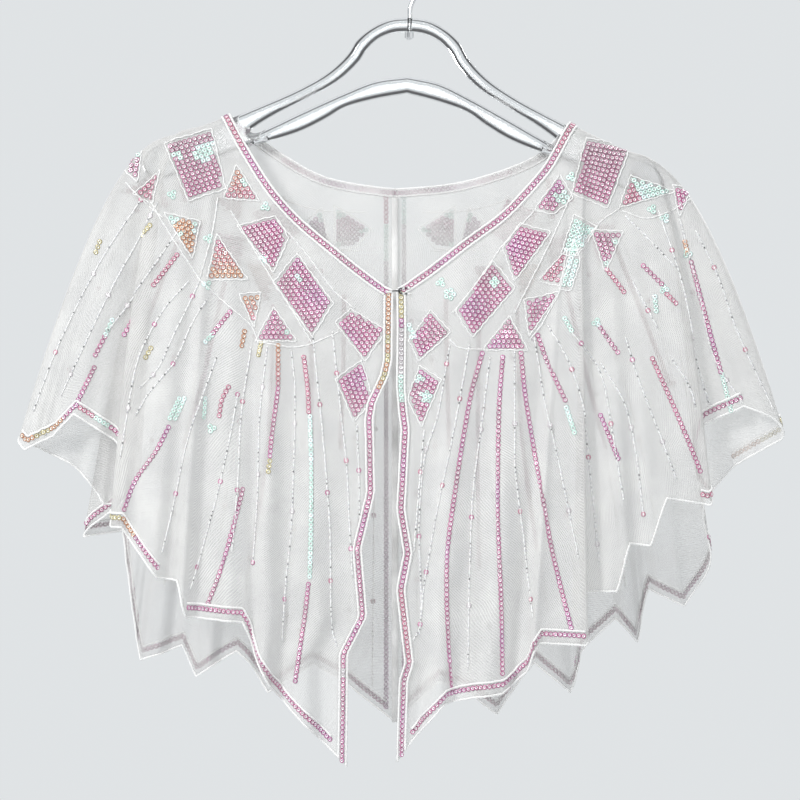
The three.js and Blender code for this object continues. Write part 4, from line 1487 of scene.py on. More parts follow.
class Finishes:
    """The materials of the capelet and its hanger."""

    def __init__(self) -> None:
        """Builds every material once."""
        self.effects = SharedEffects()
        self.net = self._net("net", NetLook())
        self.band = self._net(
            "banding",
            NetLook(hole_alpha=0.22, thread_alpha=0.5, gather_alpha=0.1, colour=(0.93, 0.93, 0.92)),
        )
        self.tape = self._net(
            "tape", NetLook(pitch=0.0009, hole_alpha=0.7, thread_alpha=0.9, colour=(0.96, 0.96, 0.95)),
        )
        self.foil = self._painted(
            "sequin_film", 0.16, 0.34, Metallic=0.25, Coat_Weight=0.6, Coat_Roughness=0.08,
        )
        self.beads = self._painted("cut_beads", 0.1, 0.3, Metallic=0.35)
        self.cord = self._cord("cord", (0.95, 0.95, 0.94))
        self.thread = self._cord("thread", (0.98, 0.98, 0.97))
        self.clear = self._clear()
        self.chrome = self._metal("chrome", (0.78, 0.79, 0.8), 0.08, 0.2)
        self.blackened = self._metal("blackened", (0.05, 0.05, 0.055), 0.3, 0.5)
        self.floor = self._floor()

    @staticmethod
    def _start(name: str) -> tuple[bpy.types.Material, Nodes, bpy.types.Node]:
        """Starts a material.

        Args:
            name: The material's name.

        Returns:
            The material, its node helper and its main shader.
        """
        material = bpy.data.materials.new(name)
        material.use_nodes = True
        return material, Nodes(material.node_tree), material.node_tree.nodes["Principled BSDF"]

    def _use(self, nodes: Nodes, group: bpy.types.NodeTree, **values: object) -> bpy.types.Node:
        """Places a shared effect in a material.

        Args:
            nodes: The material's node helper.
            group: The effect.
            values: Its inputs, with underscores for spaces.

        Returns:
            The placed group node.
        """
        node = nodes.add("Group", node_tree=group)
        for name, value in values.items():
            nodes.feed(node.inputs[name.replace("_", " ")], value)
        return node

    @staticmethod
    def _set(shader: bpy.types.Node, **values: object) -> None:
        """Puts constant values on a shader's own sockets."""
        for name, value in values.items():
            shader.inputs[name.replace("_", " ")].default_value = value

    def _wear(self, nodes: Nodes, shader: bpy.types.Node, least: float, most: float) -> None:
        """Gives a hard finish its marks of handling.

        Args:
            nodes: The material's node helper.
            shader: Its shader.
            least: The least roughness.
            most: The greatest roughness.
        """
        place = nodes.add("TexCoord").outputs["Object"]
        marks = self._use(nodes, self.effects.marks, Vector=place, Least=least, Most=most)
        nodes.join(marks.outputs["Roughness"], shader.inputs["Roughness"])

    def _raise(self, nodes: Nodes, shader: bpy.types.Node, height: bpy.types.NodeSocket,
               strength: float, distance: float) -> None:
        """Gives a finish its fine relief.

        Args:
            nodes: The material's node helper.
            shader: Its shader.
            height: The relief's height.
            strength: How much of it shows.
            distance: How deep it is, in metres.
        """
        bump = nodes.add("Bump")
        self._set(bump, Strength=strength, Distance=distance)
        nodes.join(height, bump.inputs["Height"])
        nodes.join(bump.outputs[0], shader.inputs["Normal"])

    def _net(self, name: str, look: NetLook) -> bpy.types.Material:
        """Sheer diamond net that thickens where it gathers, with painted shade on the low inside of the back.

        Args:
            name: The material's name.
            look: Its sizes and colours.

        Returns:
            The material.
        """
        material, nodes, shader = self._start(name)
        threads = nodes.add("UVMap", uv_map="threads").outputs[0]
        place = nodes.add("TexCoord").outputs["Object"]
        weave = self._use(nodes, self.effects.weave, Vector=threads, Pitch=look.pitch,
                          Thread_Share=look.thread_share)
        grain = self._use(nodes, self.effects.grain, Vector=place, Scale=1400.0)
        painted = nodes.add("SeparateColor")
        nodes.join(nodes.add("Attribute", attribute_name="gather").outputs["Color"], painted.inputs[0])
        # The stored colour's red is the gathering and its green the painted shade of the low inside of the
        # back.
        gather, inside = painted.outputs[0], painted.outputs[1]
        mask = weave.outputs["Threads"]
        alpha = nodes.math("MULTIPLY", mask, look.thread_alpha - look.hole_alpha)
        alpha = nodes.math("ADD", alpha, look.hole_alpha)
        alpha = nodes.math("ADD", alpha, nodes.math("MULTIPLY", gather, look.gather_alpha))
        alpha = nodes.math("ADD", alpha, nodes.math("MULTIPLY", grain.outputs["Mottle"], look.mottle_alpha))
        nodes.join(nodes.math("MINIMUM", alpha, 1.0), shader.inputs["Alpha"])
        outside = nodes.mix(grain.outputs["Mottle"], look.shade, look.colour)
        # Painted shade: the base colour is mixed towards the darker inner colour by that share.
        nodes.join(nodes.mix(inside, outside, look.inner), shader.inputs["Base Color"])
        self._raise(nodes, shader, mask, 0.25, 0.0003)
        self._set(shader, Roughness=0.6, Sheen_Weight=0.25)
        return material

    def _painted(self, name: str, least: float, most: float, **values: object) -> bpy.types.Material:
        """A bright finish that takes its colour from each piece's own paint.

        Args:
            name: The material's name.
            least: The least roughness.
            most: The greatest roughness.
            values: The shader's constant values, with underscores for spaces.

        Returns:
            The material.
        """
        material, nodes, shader = self._start(name)
        colour = nodes.add("Attribute", attribute_name="foil").outputs["Color"]
        nodes.join(colour, shader.inputs["Base Color"])
        self._wear(nodes, shader, least, most)
        self._set(shader, **values)
        return material

    def _cord(self, name: str, colour: tuple[float, float, float]) -> bpy.types.Material:
        """White embroidery cord with fine twisted fibres.

        Args:
            name: The material's name.
            colour: Its colour.

        Returns:
            The material.
        """
        material, nodes, shader = self._start(name)
        place = nodes.add("TexCoord").outputs["Object"]
        grain = self._use(nodes, self.effects.grain, Vector=place, Scale=2600.0)
        shade = tuple(0.86 * value for value in colour)
        nodes.join(nodes.mix(grain.outputs["Height"], shade, colour), shader.inputs["Base Color"])
        self._raise(nodes, shader, grain.outputs["Height"], 0.5, 0.0004)
        self._set(shader, Roughness=0.5, Sheen_Weight=0.3)
        return material

    def _clear(self) -> bpy.types.Material:
        """Clear moulded plastic.

        Returns:
            The material.
        """
        material, nodes, shader = self._start("clear_plastic")
        self._wear(nodes, shader, 0.015, 0.06)
        self._set(shader, Base_Color=(0.95, 0.965, 0.975, 1), Transmission_Weight=1.0, IOR=1.49)
        return material

    def _metal(self, name: str, colour: tuple[float, float, float], least: float, most: float
               ) -> bpy.types.Material:
        """Bare or blackened metal with faint marks.

        Args:
            name: The material's name.
            colour: The metal's colour.
            least: The least roughness.
            most: The greatest roughness.

        Returns:
            The material.
        """
        material, nodes, shader = self._start(name)
        self._wear(nodes, shader, least, most)
        self._set(shader, Base_Color=(*colour, 1), Metallic=1.0)
        return material

    def _floor(self) -> bpy.types.Material:
        """The plain pale floor.

        Returns:
            The material.
        """
        material, nodes, shader = self._start("pale_floor")
        place = nodes.add("TexCoord").outputs["Object"]
        grain = self._use(nodes, self.effects.grain, Vector=place, Scale=40.0)
        nodes.join(nodes.mix(grain.outputs["Height"], (0.74, 0.745, 0.755), (0.77, 0.775, 0.785)),
                   shader.inputs["Base Color"])
        self._set(shader, Roughness=0.85)
        return material


@dataclass(frozen=True)
class BandEnds:
    """How far one front band reaches past the cloth's edge at the V and at the tip, in x and z."""

    vee: Point
    tip: Point


FRONT_BAND = {
    Side.LEFT: BandEnds((7.4, 3.7), (7, -7.6)),
    Side.RIGHT: BandEnds((-7, 3.7), (-7, -9.9)),
}


class BandStrip:
    """A sewn band as a thin closed strip along an edge of the net, with the lines that its trim follows."""

    WIDTH = 7.0
    TURN = 22.0
    THICKNESS = 0.9
    STEPS_ACROSS = 5
    EVENING_ROUNDS = 6
    PUFF = 0.45
    CORD_SHARES = (0.08, 0.95)
    CORD_LIFT = 0.5
    SEQUIN_LINE = (0.52, 0.1)

    def __init__(self, name: str, near: np.ndarray, far: np.ndarray, normal: np.ndarray) -> None:
        """Keeps the strip's two edges.

        Args:
            name: The piece's name.
            near: The points beside the net.
            far: The points of the free edge.
            normal: The outward normals.
        """
        self.name = name
        self.near = near
        self.far = far
        self.normal = normal

    @classmethod
    def of_neck(cls, shell: NetShell) -> "BandStrip":
        """The band round one half's neck edge.

        Args:
            shell: The half's net.

        Returns:
            The band.
        """
        side = shell.form.side
        step = shell.COLUMNS_PER_STEP
        first = np.arange(0, STRETCH_VEE * step + 1)
        last = np.arange((STRETCH_TOTAL - STRETCH_NAPE) * step + 1, STRETCH_TOTAL * step + 1)
        ids = np.concatenate([first, last])
        edge, normal = shell.grid[ids, 0], shell.normal[ids, 0]
        along = np.gradient(edge, axis=0)
        along /= np.linalg.norm(along, axis=1, keepdims=True)
        away = np.cross(along, normal) * -side.value
        away /= np.linalg.norm(away, axis=1, keepdims=True)
        over = np.clip(1 - (edge[len(first) - 1, 2] - edge[:, 2]) / cls.TURN, 0, 1)[:, None]
        away = away * (1 - over) + shell.form.arm_away * over
        ends = FRONT_BAND[side]
        away[0] = np.array([ends.vee[0], 0, ends.vee[1]])
        away[-1] = (0, 0, 1)
        away = cls._even(away)
        away /= np.linalg.norm(away, axis=1, keepdims=True)
        away[0] = np.array([ends.vee[0], 0, ends.vee[1]]) / cls.WIDTH
        start = edge.copy()
        start[0] += along[0] * 2 * SEAM_GAP
        near, far = start + away * SEAM_GAP, start + away * cls.WIDTH
        return cls(f"band_neck_{side.word}", near, far, cls._even(normal))

    @classmethod
    def of_front(cls, shell: NetShell) -> "BandStrip":
        """The band down one half's front edge.

        Args:
            shell: The half's net.

        Returns:
            The band.
        """
        side = shell.form.side
        ends = FRONT_BAND[side]
        edge, normal = shell.grid[0], shell.normal[0]
        away = np.tile(np.array([-side.value * cls.WIDTH, 0.0, 0.0]), (len(edge), 1))
        away[0] = (ends.vee[0], 0, ends.vee[1])
        away[-1] = (ends.tip[0], 0, ends.tip[1])
        reach = np.linalg.norm(away, axis=1, keepdims=True)
        return cls(f"band_front_{side.word}", edge + away * SEAM_GAP / reach, edge + away, cls._even(normal))

    @classmethod
    def _even(cls, values: np.ndarray) -> np.ndarray:
        """Evens out a run of directions, keeping its ends.

        Args:
            values: One direction a row.

        Returns:
            The evened directions.
        """
        evened = values.copy()
        for _ in range(cls.EVENING_ROUNDS):
            evened[1:-1] = 0.25 * evened[:-2] + 0.5 * evened[1:-1] + 0.25 * evened[2:]
        evened[0], evened[-1] = values[0], values[-1]
        return evened / np.maximum(np.linalg.norm(evened, axis=1, keepdims=True), 1e-9)

    def line(self, share: float, lift: float = 0.0) -> tuple[np.ndarray, np.ndarray]:
        """A line along the band.

        Args:
            share: How far it lies from the net towards the free edge, from 0 to 1.
            lift: Millimetres off the band's outer face.

        Returns:
            The line's points and the outward normals there.
        """
        middle = self.near + (self.far - self.near) * share
        rise = self.THICKNESS / 2 + self.PUFF * math.sin(share * math.pi) + lift
        return middle + self.normal * rise, self.normal

    def build(self, material: bpy.types.Material, *cad_nodes: str) -> bpy.types.Object:
        """Makes the band's mesh.

        Args:
            material: Its finish.
            cad_nodes: The frame's nodes that it stands for.

        Returns:
            The piece.
        """
        shares = np.linspace(0, 1, self.STEPS_ACROSS + 1)
        across = (self.far - self.near)[:, None, :] * shares[None, :, None]
        puff = self.PUFF * np.sin(shares * math.pi)
        half = self.THICKNESS / 2
        normal = self.normal[:, None, :]
        outer = self.near[:, None, :] + across + normal * (half + puff)[None, :, None]
        inner = self.near[:, None, :] + across - normal * half
        ring = np.concatenate([outer, inner[:, ::-1]], axis=1)
        sections, width = ring.shape[:2]
        at = np.arange(sections * width).reshape(sections, width)
        here, ahead = at[:-1], at[1:]
        quads = np.stack([here, np.roll(here, -1, 1), np.roll(ahead, -1, 1), ahead], axis=-1).reshape(-1, 4)
        caps = [at[0][::-1].tolist(), at[-1].tolist()]
        faces = quads.tolist() + caps
        middle = ring.mean(axis=(0, 1))
        data = bpy.data.meshes.new(self.name)
        data.from_pydata((ring.reshape(-1, 3) * MM).tolist(), [], faces)
        turned_in = self._volume(ring.reshape(-1, 3) - middle, faces) < 0
        if turned_in:
            data.flip_normals()
        layer = data.uv_layers.new(name="threads")
        corners = np.empty(len(data.loops), dtype=int)
        data.loops.foreach_get("vertex_index", corners)
        u = lengths_along(self.near)
        v = np.concatenate([shares, shares[::-1]]) * self.WIDTH
        place = np.stack(np.meshgrid(u, v, indexing="ij"), axis=-1).reshape(-1, 2) * MM
        layer.data.foreach_set("uv", place[corners].ravel())
        data.polygons.foreach_set("use_smooth", [True] * len(data.polygons))
        piece = put_on(self.name, data)
        if cad_nodes:
            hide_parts(*cad_nodes)
        dress(piece, material)
        return piece

    @staticmethod
    def _volume(points: np.ndarray, faces: list[list[int]]) -> float:
        """Six times the signed volume inside the faces.

        Args:
            points: The points.
            faces: The faces as lists of point numbers.

        Returns:
            A value below 0 where the faces point in.
        """
        total = 0.0
        for face in faces:
            for at in range(1, len(face) - 1):
                total += float(points[face[0]] @ np.cross(points[face[at]], points[face[at + 1]]))
        return total


class Embroidery:
    """All the sewn decoration of the capelet, on the front, the back and the bands."""

    SEED = 11
    SEQUIN_PITCH = 3.6
    ROW_PITCH = 3.65
    PATCH_INSET = 1.7
    CORD_OUT = 3.08
    CORD_STEP = 1.5
    BEAD_PITCH = 3.4
    BEAD_SHARE = 0.86
    LONE_SEQUIN_EVERY = 68.0
    HEM_INSET = 7.5
    HEM_EDGE = 0.3
    HEM_CORD_UP = 3.4
    HEM_CORD_LIFT = 0.6
    LINE_END = 1.5
    SMALL_SPOT = 4
    SPOT_REACH = 2.1
    STITCH = 0.3
    STITCH_STEP = 0.57
    STITCH_POINTS = 12

    def __init__(self, rays: ClothRays, finishes: Finishes) -> None:
        """Starts the fields that the decoration is gathered in.

        Args:
            rays: Finds places on the cloth.
            finishes: The materials.
        """
        self.rays = rays
        self.finishes = finishes
        self.chance = random.Random(self.SEED)
        faces = ("front_left", "front_right", "back_left", "back_right")
        edges = ("edges_left", "edges_right")
        self.sequins = {name: SequinField(f"sequins_{name}") for name in faces + edges}
        self.cords, self.threads, self.beads = {}, {}, {}
        for name in faces:
            self.beads[name] = BeadField(f"beads_{name}")
            self.cords[name] = CordField(f"cord_{name}", 0.52, 5, 1.2, 0.34, 2.4, sway=0.28)
            self.threads[name] = CordField(f"thread_{name}", 0.5, 4, 1.9, 0.3, 3.1, lift=0.9, sway=0.12)
        for name in edges:
            self.cords[name] = CordField(f"cord_{name}", 0.85, 6, 1.15, 0.24, 2.6, lift=0.0, sway=0.06)
        self.loops = {side: CordField(f"stitches_{side}", self.STITCH, 5, 0.5) for side in ("left", "right")}
        self.glints = {Face.FRONT: FRONT_GLINTS, Face.BACK: [
            Glint(ground.place((glint.at,))[0], glint.size)
            for ground in BACK_GROUNDS for glint in BACK_GLINTS
        ]}

    def _sequin(self, x: float, z: float, ground: Ground, film: np.ndarray) -> None:
        """Sews one sequin on, if there is cloth at that place."""
        found = self.rays.find(x, z, ground.face)
        if found is not None:
            self.sequins[ground.field(x)].add(*found, film, self.chance)

    def patch(self, patch: Patch, ground: Ground) -> None:
        """Fills a patch with rows of sequins and lays its corded outline.

        Args:
            patch: The patch.
            ground: What it is laid on.
        """
        corners = np.array(ground.place(patch.corners), dtype=float)
        runs = np.roll(corners, -1, axis=0) - corners
        longest = runs[np.argmax(np.linalg.norm(runs, axis=1))]
        along = longest / np.linalg.norm(longest)
        over = np.array([-along[1], along[0]])
        flat = np.stack([corners @ along, corners @ over], axis=-1)
        low, high = flat[:, 1].min() + self.PATCH_INSET, flat[:, 1].max() - self.PATCH_INSET
        rows = max(int(round((high - low) / self.ROW_PITCH)) + 1, 1)
        for level in np.linspace(low, high, rows) if rows > 1 else [(low + high) / 2]:
            start, end = self._cut(flat, level)
            room = end - start - 2 * self.PATCH_INSET
            if room < -self.PATCH_INSET:
                continue
            count = max(int(round(room / self.SEQUIN_PITCH)) + 1, 1)
            middle = (start + end) / 2
            half = max(room, 0) / 2 if count > 1 else 0
            for place in np.linspace(middle - half, middle + half, count):
                x, z = place * along + level * over
                self._sequin(x, z, ground, self._patch_film(patch, ground, x, z))
        self._outline(corners, ground)

    def _patch_film(self, patch: Patch, ground: Ground, x: float, z: float) -> np.ndarray:
        """The colours of one sequin of a patch.

        Args:
            patch: The patch.
            ground: What it is laid on.
            x: The sequin's x.
            z: The sequin's z.

        Returns:
            The colours of its rim, ring and cup.
        """
        # Inside a glint the sequin takes the mint-white glare: a painted highlight.
        for glint in self.glints[ground.face]:
            if math.hypot(x - glint.at[0], z - glint.at[1]) < glint.size:
                return np.array(Foil.MINT.value)
        heights = [corner[1] for corner in patch.corners]
        share = (max(heights) - z) / (max(heights) - min(heights))
        share = min(max(share + self.chance.uniform(-0.15, 0.15), 0.0), 1.0)
        return film_colour(patch.foil, patch.fade or patch.foil, share, x, z)

    def spot(self, glint: Glint, ground: Ground) -> None:
        """Sews a small cluster of mint-white sequins, a painted glint.

        Args:
            glint: Where it lies and how far it reaches.
            ground: What it is laid on.
        """
        turn = self.chance.uniform(0, 2)
        count, spread = (3, 1.0) if glint.size < self.SMALL_SPOT else (5, 1.5)
        reach = self.SPOT_REACH * spread
        for step in range(count):
            angle = turn + step * 2 * math.pi / count
            x, z = glint.at[0] + reach * math.cos(angle), glint.at[1] + reach * math.sin(angle)
            self._sequin(x, z, ground, np.array(Foil.MINT.value))

    @staticmethod
    def _cut(flat: np.ndarray, level: float) -> tuple[float, float]:
        """Where a level line enters and leaves a patch.

        Args:
            flat: The corners, along and over.
            level: The line's height.

        Returns:
            The first and the last place along it.
        """
        hits = []
        for a, b in zip(flat, np.roll(flat, -1, axis=0)):
            if (a[1] - level) * (b[1] - level) <= 0 and a[1] != b[1]:
                share = (level - a[1]) / (b[1] - a[1])
                hits.append(a[0] + (b[0] - a[0]) * share)
        return (min(hits), max(hits)) if hits else (0.0, 0.0)

    def _outline(self, corners: np.ndarray, ground: Ground) -> None:
        """Lays white cord round a patch.

        Args:
            corners: The patch's corners.
            ground: What it is laid on.
        """
        middle = corners.mean(axis=0)
        spokes = corners - middle
        reach = np.linalg.norm(spokes, axis=1, keepdims=True)
        outer = middle + spokes * (1 + self.CORD_OUT / reach)
        line = []
        for start, end in zip(outer, np.roll(outer, -1, axis=0)):
            steps = max(int(np.linalg.norm(end - start) / self.CORD_STEP), 2)
            line += [start + (end - start) * at / steps for at in range(steps)]
        line.append(outer[0])
        for points, normals in self.rays.lay(np.array(line), ground.face):
            self.cords[ground.field(middle[0])].add(points, normals)

    def chain(self, chain: Chain, ground: Ground) -> None:
        """Sews a chain of sequins.

        Args:
            chain: The chain.
            ground: What it is laid on.
        """
        places = SmoothLine(ground.place(chain.points)).evenly(self.SEQUIN_PITCH)
        for number, (x, z) in enumerate(places):
            film = film_colour(chain.foil, chain.fade or chain.foil, number / len(places), x, z)
            self._sequin(x, z, ground, film)

    def thread(self, points: tuple[Point, ...], ground: Ground) -> None:
        """Couches a thread on the net, with cut beads and a sequin now and then.

        Args:
            points: The charted line.
            ground: What it is laid on.
        """
        line = SmoothLine(ground.place(points)).evenly(self.BEAD_PITCH / 2)
        every = int(self.LONE_SEQUIN_EVERY / self.BEAD_PITCH)
        since = self.chance.randrange(every)
        for run, normals in self.rays.lay(line, ground.face):
            name = ground.field(float(run[:, 0].mean()))
            self.threads[name].add(run, normals)
            for at in range(1, len(run) - 1, 2):
                since += 1
                if since % every == 0:
                    film = np.array(self.chance.choice((Foil.PINK, Foil.ROSE, Foil.PEARL)).value)
                    self.sequins[name].add(run[at], normals[at], film, self.chance)
                elif self.chance.random() < self.BEAD_SHARE:
                    self.beads[name].add(run[at], normals[at], run[at + 1] - run[at - 1], self.chance)

    def yoke_line(self, points: tuple[Point, ...], ground: Ground) -> None:
        """Couches a plain cord that borders the patches."""
        line = SmoothLine(ground.place(points)).evenly(self.CORD_STEP)
        for run, normals in self.rays.lay(line, ground.face):
            self.threads[ground.field(float(run[:, 0].mean()))].add(run, normals)

    def along(self, field_name: str, line: np.ndarray, normals: np.ndarray, foils: tuple[Foil, ...]) -> None:
        """Sews sequins along a line in space, in stretches of colour.

        Args:
            field_name: The field that takes them.
            line: The line's points.
            normals: The outward normals there.
            foils: The colours of its stretches, in order.
        """
        down = lengths_along(line)
        count = max(int(down[-1] / self.SEQUIN_PITCH), 2)
        for number, place in enumerate(np.linspace(self.LINE_END, down[-1] - self.LINE_END, count)):
            middle, out = read_line(line, down, place), read_line(normals, down, place)
            foil = foils[min(int(number / count * len(foils)), len(foils) - 1)]
            film = film_colour(foil, foil, 0.0, float(middle[0]), float(middle[2]))
            self.sequins[field_name].add(middle, out, film, self.chance)

    def trim_band(self, band: BandStrip, side: Side, foils: tuple[Foil, ...]) -> None:
        """Puts the cords and the sequins on a band.

        Args:
            band: The band.
            side: The half it belongs to.
            foils: The colours of its sequins, in order.
        """
        name = f"edges_{side.word}"
        for share in BandStrip.CORD_SHARES:
            self.cords[name].add(*band.line(share, BandStrip.CORD_LIFT))
        points, normals = band.line(*BandStrip.SEQUIN_LINE)
        self.along(name, points, normals, foils)

    def hem(self, shell: NetShell, stretches: tuple[tuple[float, float, tuple[Foil, ...]], ...]) -> None:
        """Puts the corded edging and the sequin stretches on one half's hem.

        Args:
            shell: The half's net.
            stretches: The first and last column of each stretch of sequins, and its colours.
        """
        name = f"edges_{shell.form.side.word}"
        half = NetShell.THICKNESS / 2
        self.cords[name].add(*shell.hem_line(self.HEM_EDGE, 0, STRETCH_TOTAL))
        for first, last, foils in stretches:
            points, normals = shell.hem_line(self.HEM_INSET, first, last)
            self.along(name, points + normals * half, normals, foils)
            points, normals = shell.hem_line(self.HEM_INSET + self.HEM_CORD_UP, first, last)
            self.cords[name].add(points + normals * (half + self.HEM_CORD_LIFT), normals)

    def stitches(self) -> None:
        """Sews the shank of the hook and the legs of the eye down with small white loops."""
        turn = np.linspace(0, 2 * math.pi, self.STITCH_POINTS + 1)[:-1]
        out = np.stack([0 * turn, np.cos(turn), np.sin(turn)], axis=-1)
        for side, start, end, rise in STITCHED_WIRES:
            for across in np.arange(start, end, self.STITCH_STEP):
                middle = np.array(CLOSURE_BAR) + np.array([across, CLOSURE_BEND, rise])
                self.loops[side].add(middle + out * CLOSURE_WIRE / 2, out, closed=True)

    def sew(self) -> None:
        """Lays every charted line and patch of the front and the back."""
        self._lay(FRONT_GROUND, FRONT_PATCHES, FRONT_CHAINS, FRONT_THREADS, YOKE_LINES)
        for glint in FRONT_GLINT_SPOTS:
            self.spot(glint, FRONT_GROUND)
        self.stitches()
        for ground, centre_chains in zip(BACK_GROUNDS, CENTRE_CHAINS):
            self._lay(ground, BACK_PATCHES, BACK_CHAINS, BACK_THREADS, BACK_YOKE_LINES)
            for chain in centre_chains:
                self.chain(chain, ground)

    def _lay(self, ground: Ground, patches: tuple[Patch, ...], chains: tuple[Chain, ...],
             threads: tuple[tuple[Point, ...], ...], yoke_lines: tuple[tuple[Point, ...], ...]) -> None:
        """Lays one chart.

        Args:
            ground: What it is laid on.
            patches: Its sequin patches.
            chains: Its chains of sequins.
            threads: Its beaded threads.
            yoke_lines: Its plain cords.
        """
        for items, sew_one in ((patches, self.patch), (chains, self.chain), (threads, self.thread),
                               (yoke_lines, self.yoke_line)):
            for item in items:
                sew_one(item, ground)

    def build(self) -> list[bpy.types.Object]:
        """Makes a piece from each field.

        Returns:
            The pieces.
        """
        made = [sewn.build(self.finishes.foil) for sewn in self.sequins.values()]
        made += [sewn.build("trim", self.finishes.cord) for sewn in self.cords.values()]
        made += [sewn.build("trim", self.finishes.thread) for sewn in self.threads.values()]
        made += [sewn.build("trim", self.finishes.thread) for sewn in self.loops.values()]
        made += [sewn.build(self.finishes.beads) for sewn in self.beads.values()]
        return made


class HangerModel:
    """The clear hanger, its wire hook and the nut under its crown."""

    OUTSIDE_STEPS = 150
    GAP_STEPS = 110
    EDGE_STEPS = 7
    EDGE_ROUND = 4.5
    HOOK_SIDES = 20
    HOOK_TURNS = 14
    HOOK_PITCH = 1.5
    NUT_SIDES = 24
    NUT_PROFILE = ((2.05, 15.8), (3.0, 15.8), (3.4, 15.4), (3.4, 11.7), (3.0, 11.3), (2.05, 11.3))

    def __init__(self, finishes: Finishes) -> None:
        """Keeps the materials."""
        self.finishes = finishes

    @staticmethod
    def _outline(half: tuple[Point, ...], steps: int) -> list[Point]:
        """A closed outline in x and z from half of it.

        Args:
            half: The right half, across and down from the crown.
            steps: How many points half of it gets.

        Returns:
            The outline's points.
        """
        right = SmoothLine(half).at(np.linspace(0, 1, steps + 1))
        left = right[1:-1][::-1] * np.array([-1, 1])
        return [HANGER.place(across, down) for across, down in np.vstack([right, left])]

    def body(self) -> bpy.types.Object:
        """Makes the clear body with rounded edges and its long gap.

        Returns:
            The piece.
        """
        curve = bpy.data.curves.new("hanger_outline", "CURVE")
        curve.dimensions = "2D"
        curve.fill_mode = "BOTH"
        curve.bevel_resolution = self.EDGE_STEPS - 1
        curve.bevel_depth = self.EDGE_ROUND * MM
        curve.extrude = (HANGER.thickness / 2 - self.EDGE_ROUND) * MM
        curve.offset = -self.EDGE_ROUND * MM
        outside = HANGER_TOP + HANGER_TIP + HANGER_BOTTOM
        gap = GAP_TOP + GAP_END + GAP_BOTTOM
        for half, steps in ((outside, self.OUTSIDE_STEPS), (gap, self.GAP_STEPS)):
            points = self._outline(half, steps)
            spline = curve.splines.new("POLY")
            spline.points.add(len(points) - 1)
            spline.points.foreach_set("co", [value for x, z in points for value in (x * MM, z * MM, 0, 1)])
            spline.use_cyclic_u = True
        drawn = bpy.data.objects.new("hanger_outline", curve)
        bpy.context.scene.collection.objects.link(drawn)
        shape = bpy.data.meshes.new_from_object(drawn.evaluated_get(bpy.context.evaluated_depsgraph_get()))
        bpy.data.objects.remove(drawn)
        bpy.data.curves.remove(curve)
        shape.transform(Matrix.Rotation(math.pi / 2, 4, "X"))
        solid = bmesh.new()
        solid.from_mesh(shape)
        bmesh.ops.remove_doubles(solid, verts=solid.verts, dist=0.02 * MM)
        bmesh.ops.recalc_face_normals(solid, faces=solid.faces)
        solid.to_mesh(shape)
        solid.free()
        shape.name = "clear_hanger"
        piece = put_on("clear_hanger", shape)
        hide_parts("hanger_body")
        dress(piece, self.finishes.clear)
        return piece

    def hook(self) -> bpy.types.Object:
        """Makes the wire hook along the solid's own route.

        Returns:
            The piece.
        """
        crown_x, crown_z = HANGER.crown
        tilt = HANGER.tilt
        rest_across = -crown_x * math.cos(tilt) + crown_z * math.sin(tilt)
        rest_up = -crown_x * math.sin(tilt) - crown_z * math.cos(tilt)
        radius = HANGER.bend_radius + HANGER.wire / 2
        route = [(0.0, HANGER.stem_foot), (0.0, -8.0), (0.0, 0.0), (0.0, 8.0)]
        centre_up = rest_up - HANGER.bend_radius
        for turn in range(self.HOOK_TURNS + 1):
            share = turn / self.HOOK_TURNS
            angle = math.radians(HANGER.join_at + (HANGER.open_at - HANGER.join_at) * share)
            route.append((rest_across + radius * math.cos(angle), centre_up + radius * math.sin(angle)))
        placed = [HANGER.place(across, -up) for across, up in route]
        line = SmoothLine(placed).evenly(self.HOOK_PITCH)
        line = np.stack([line[:, 0], np.zeros(len(line)), line[:, 1]], axis=-1)
        wire = CordField("hook_wire", HANGER.wire / 2, self.HOOK_SIDES, self.HOOK_PITCH, lift=0.0)
        wire.add(line, np.tile(np.array([0.0, -1.0, 0.0]), (len(line), 1)))
        piece = wire.build("steel", self.finishes.chrome)
        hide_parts("hanger_hook")
        return piece

    def nut(self) -> bpy.types.Object:
        """Makes the nut that holds the stem.

        Returns:
            The piece.
        """
        sides = self.NUT_SIDES
        points = []
        for step in range(sides):
            angle = 2 * math.pi * step / sides
            for radius, down in self.NUT_PROFILE:
                x, z = HANGER.place(radius * math.cos(angle), down)
                points.append((x, radius * math.sin(angle), z))
        count = len(self.NUT_PROFILE)
        faces = []
        for step in range(sides):
            for at in range(count):
                after, beside = (at + 1) % count, (step + 1) % sides
                here, there = step * count, beside * count
                faces.append([here + at, there + at, there + after, here + after])
        piece = new_piece("hook_nut", np.array(points), faces)
        piece.data.polygons.foreach_set("use_smooth", [False] * len(piece.data.polygons))
        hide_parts("hanger_nut")
        dress(piece, self.finishes.chrome)
        return piece

    def build(self) -> list[bpy.types.Object]:
        """Makes every piece of the hanger."""
        return [self.body(), self.hook(), self.nut()]


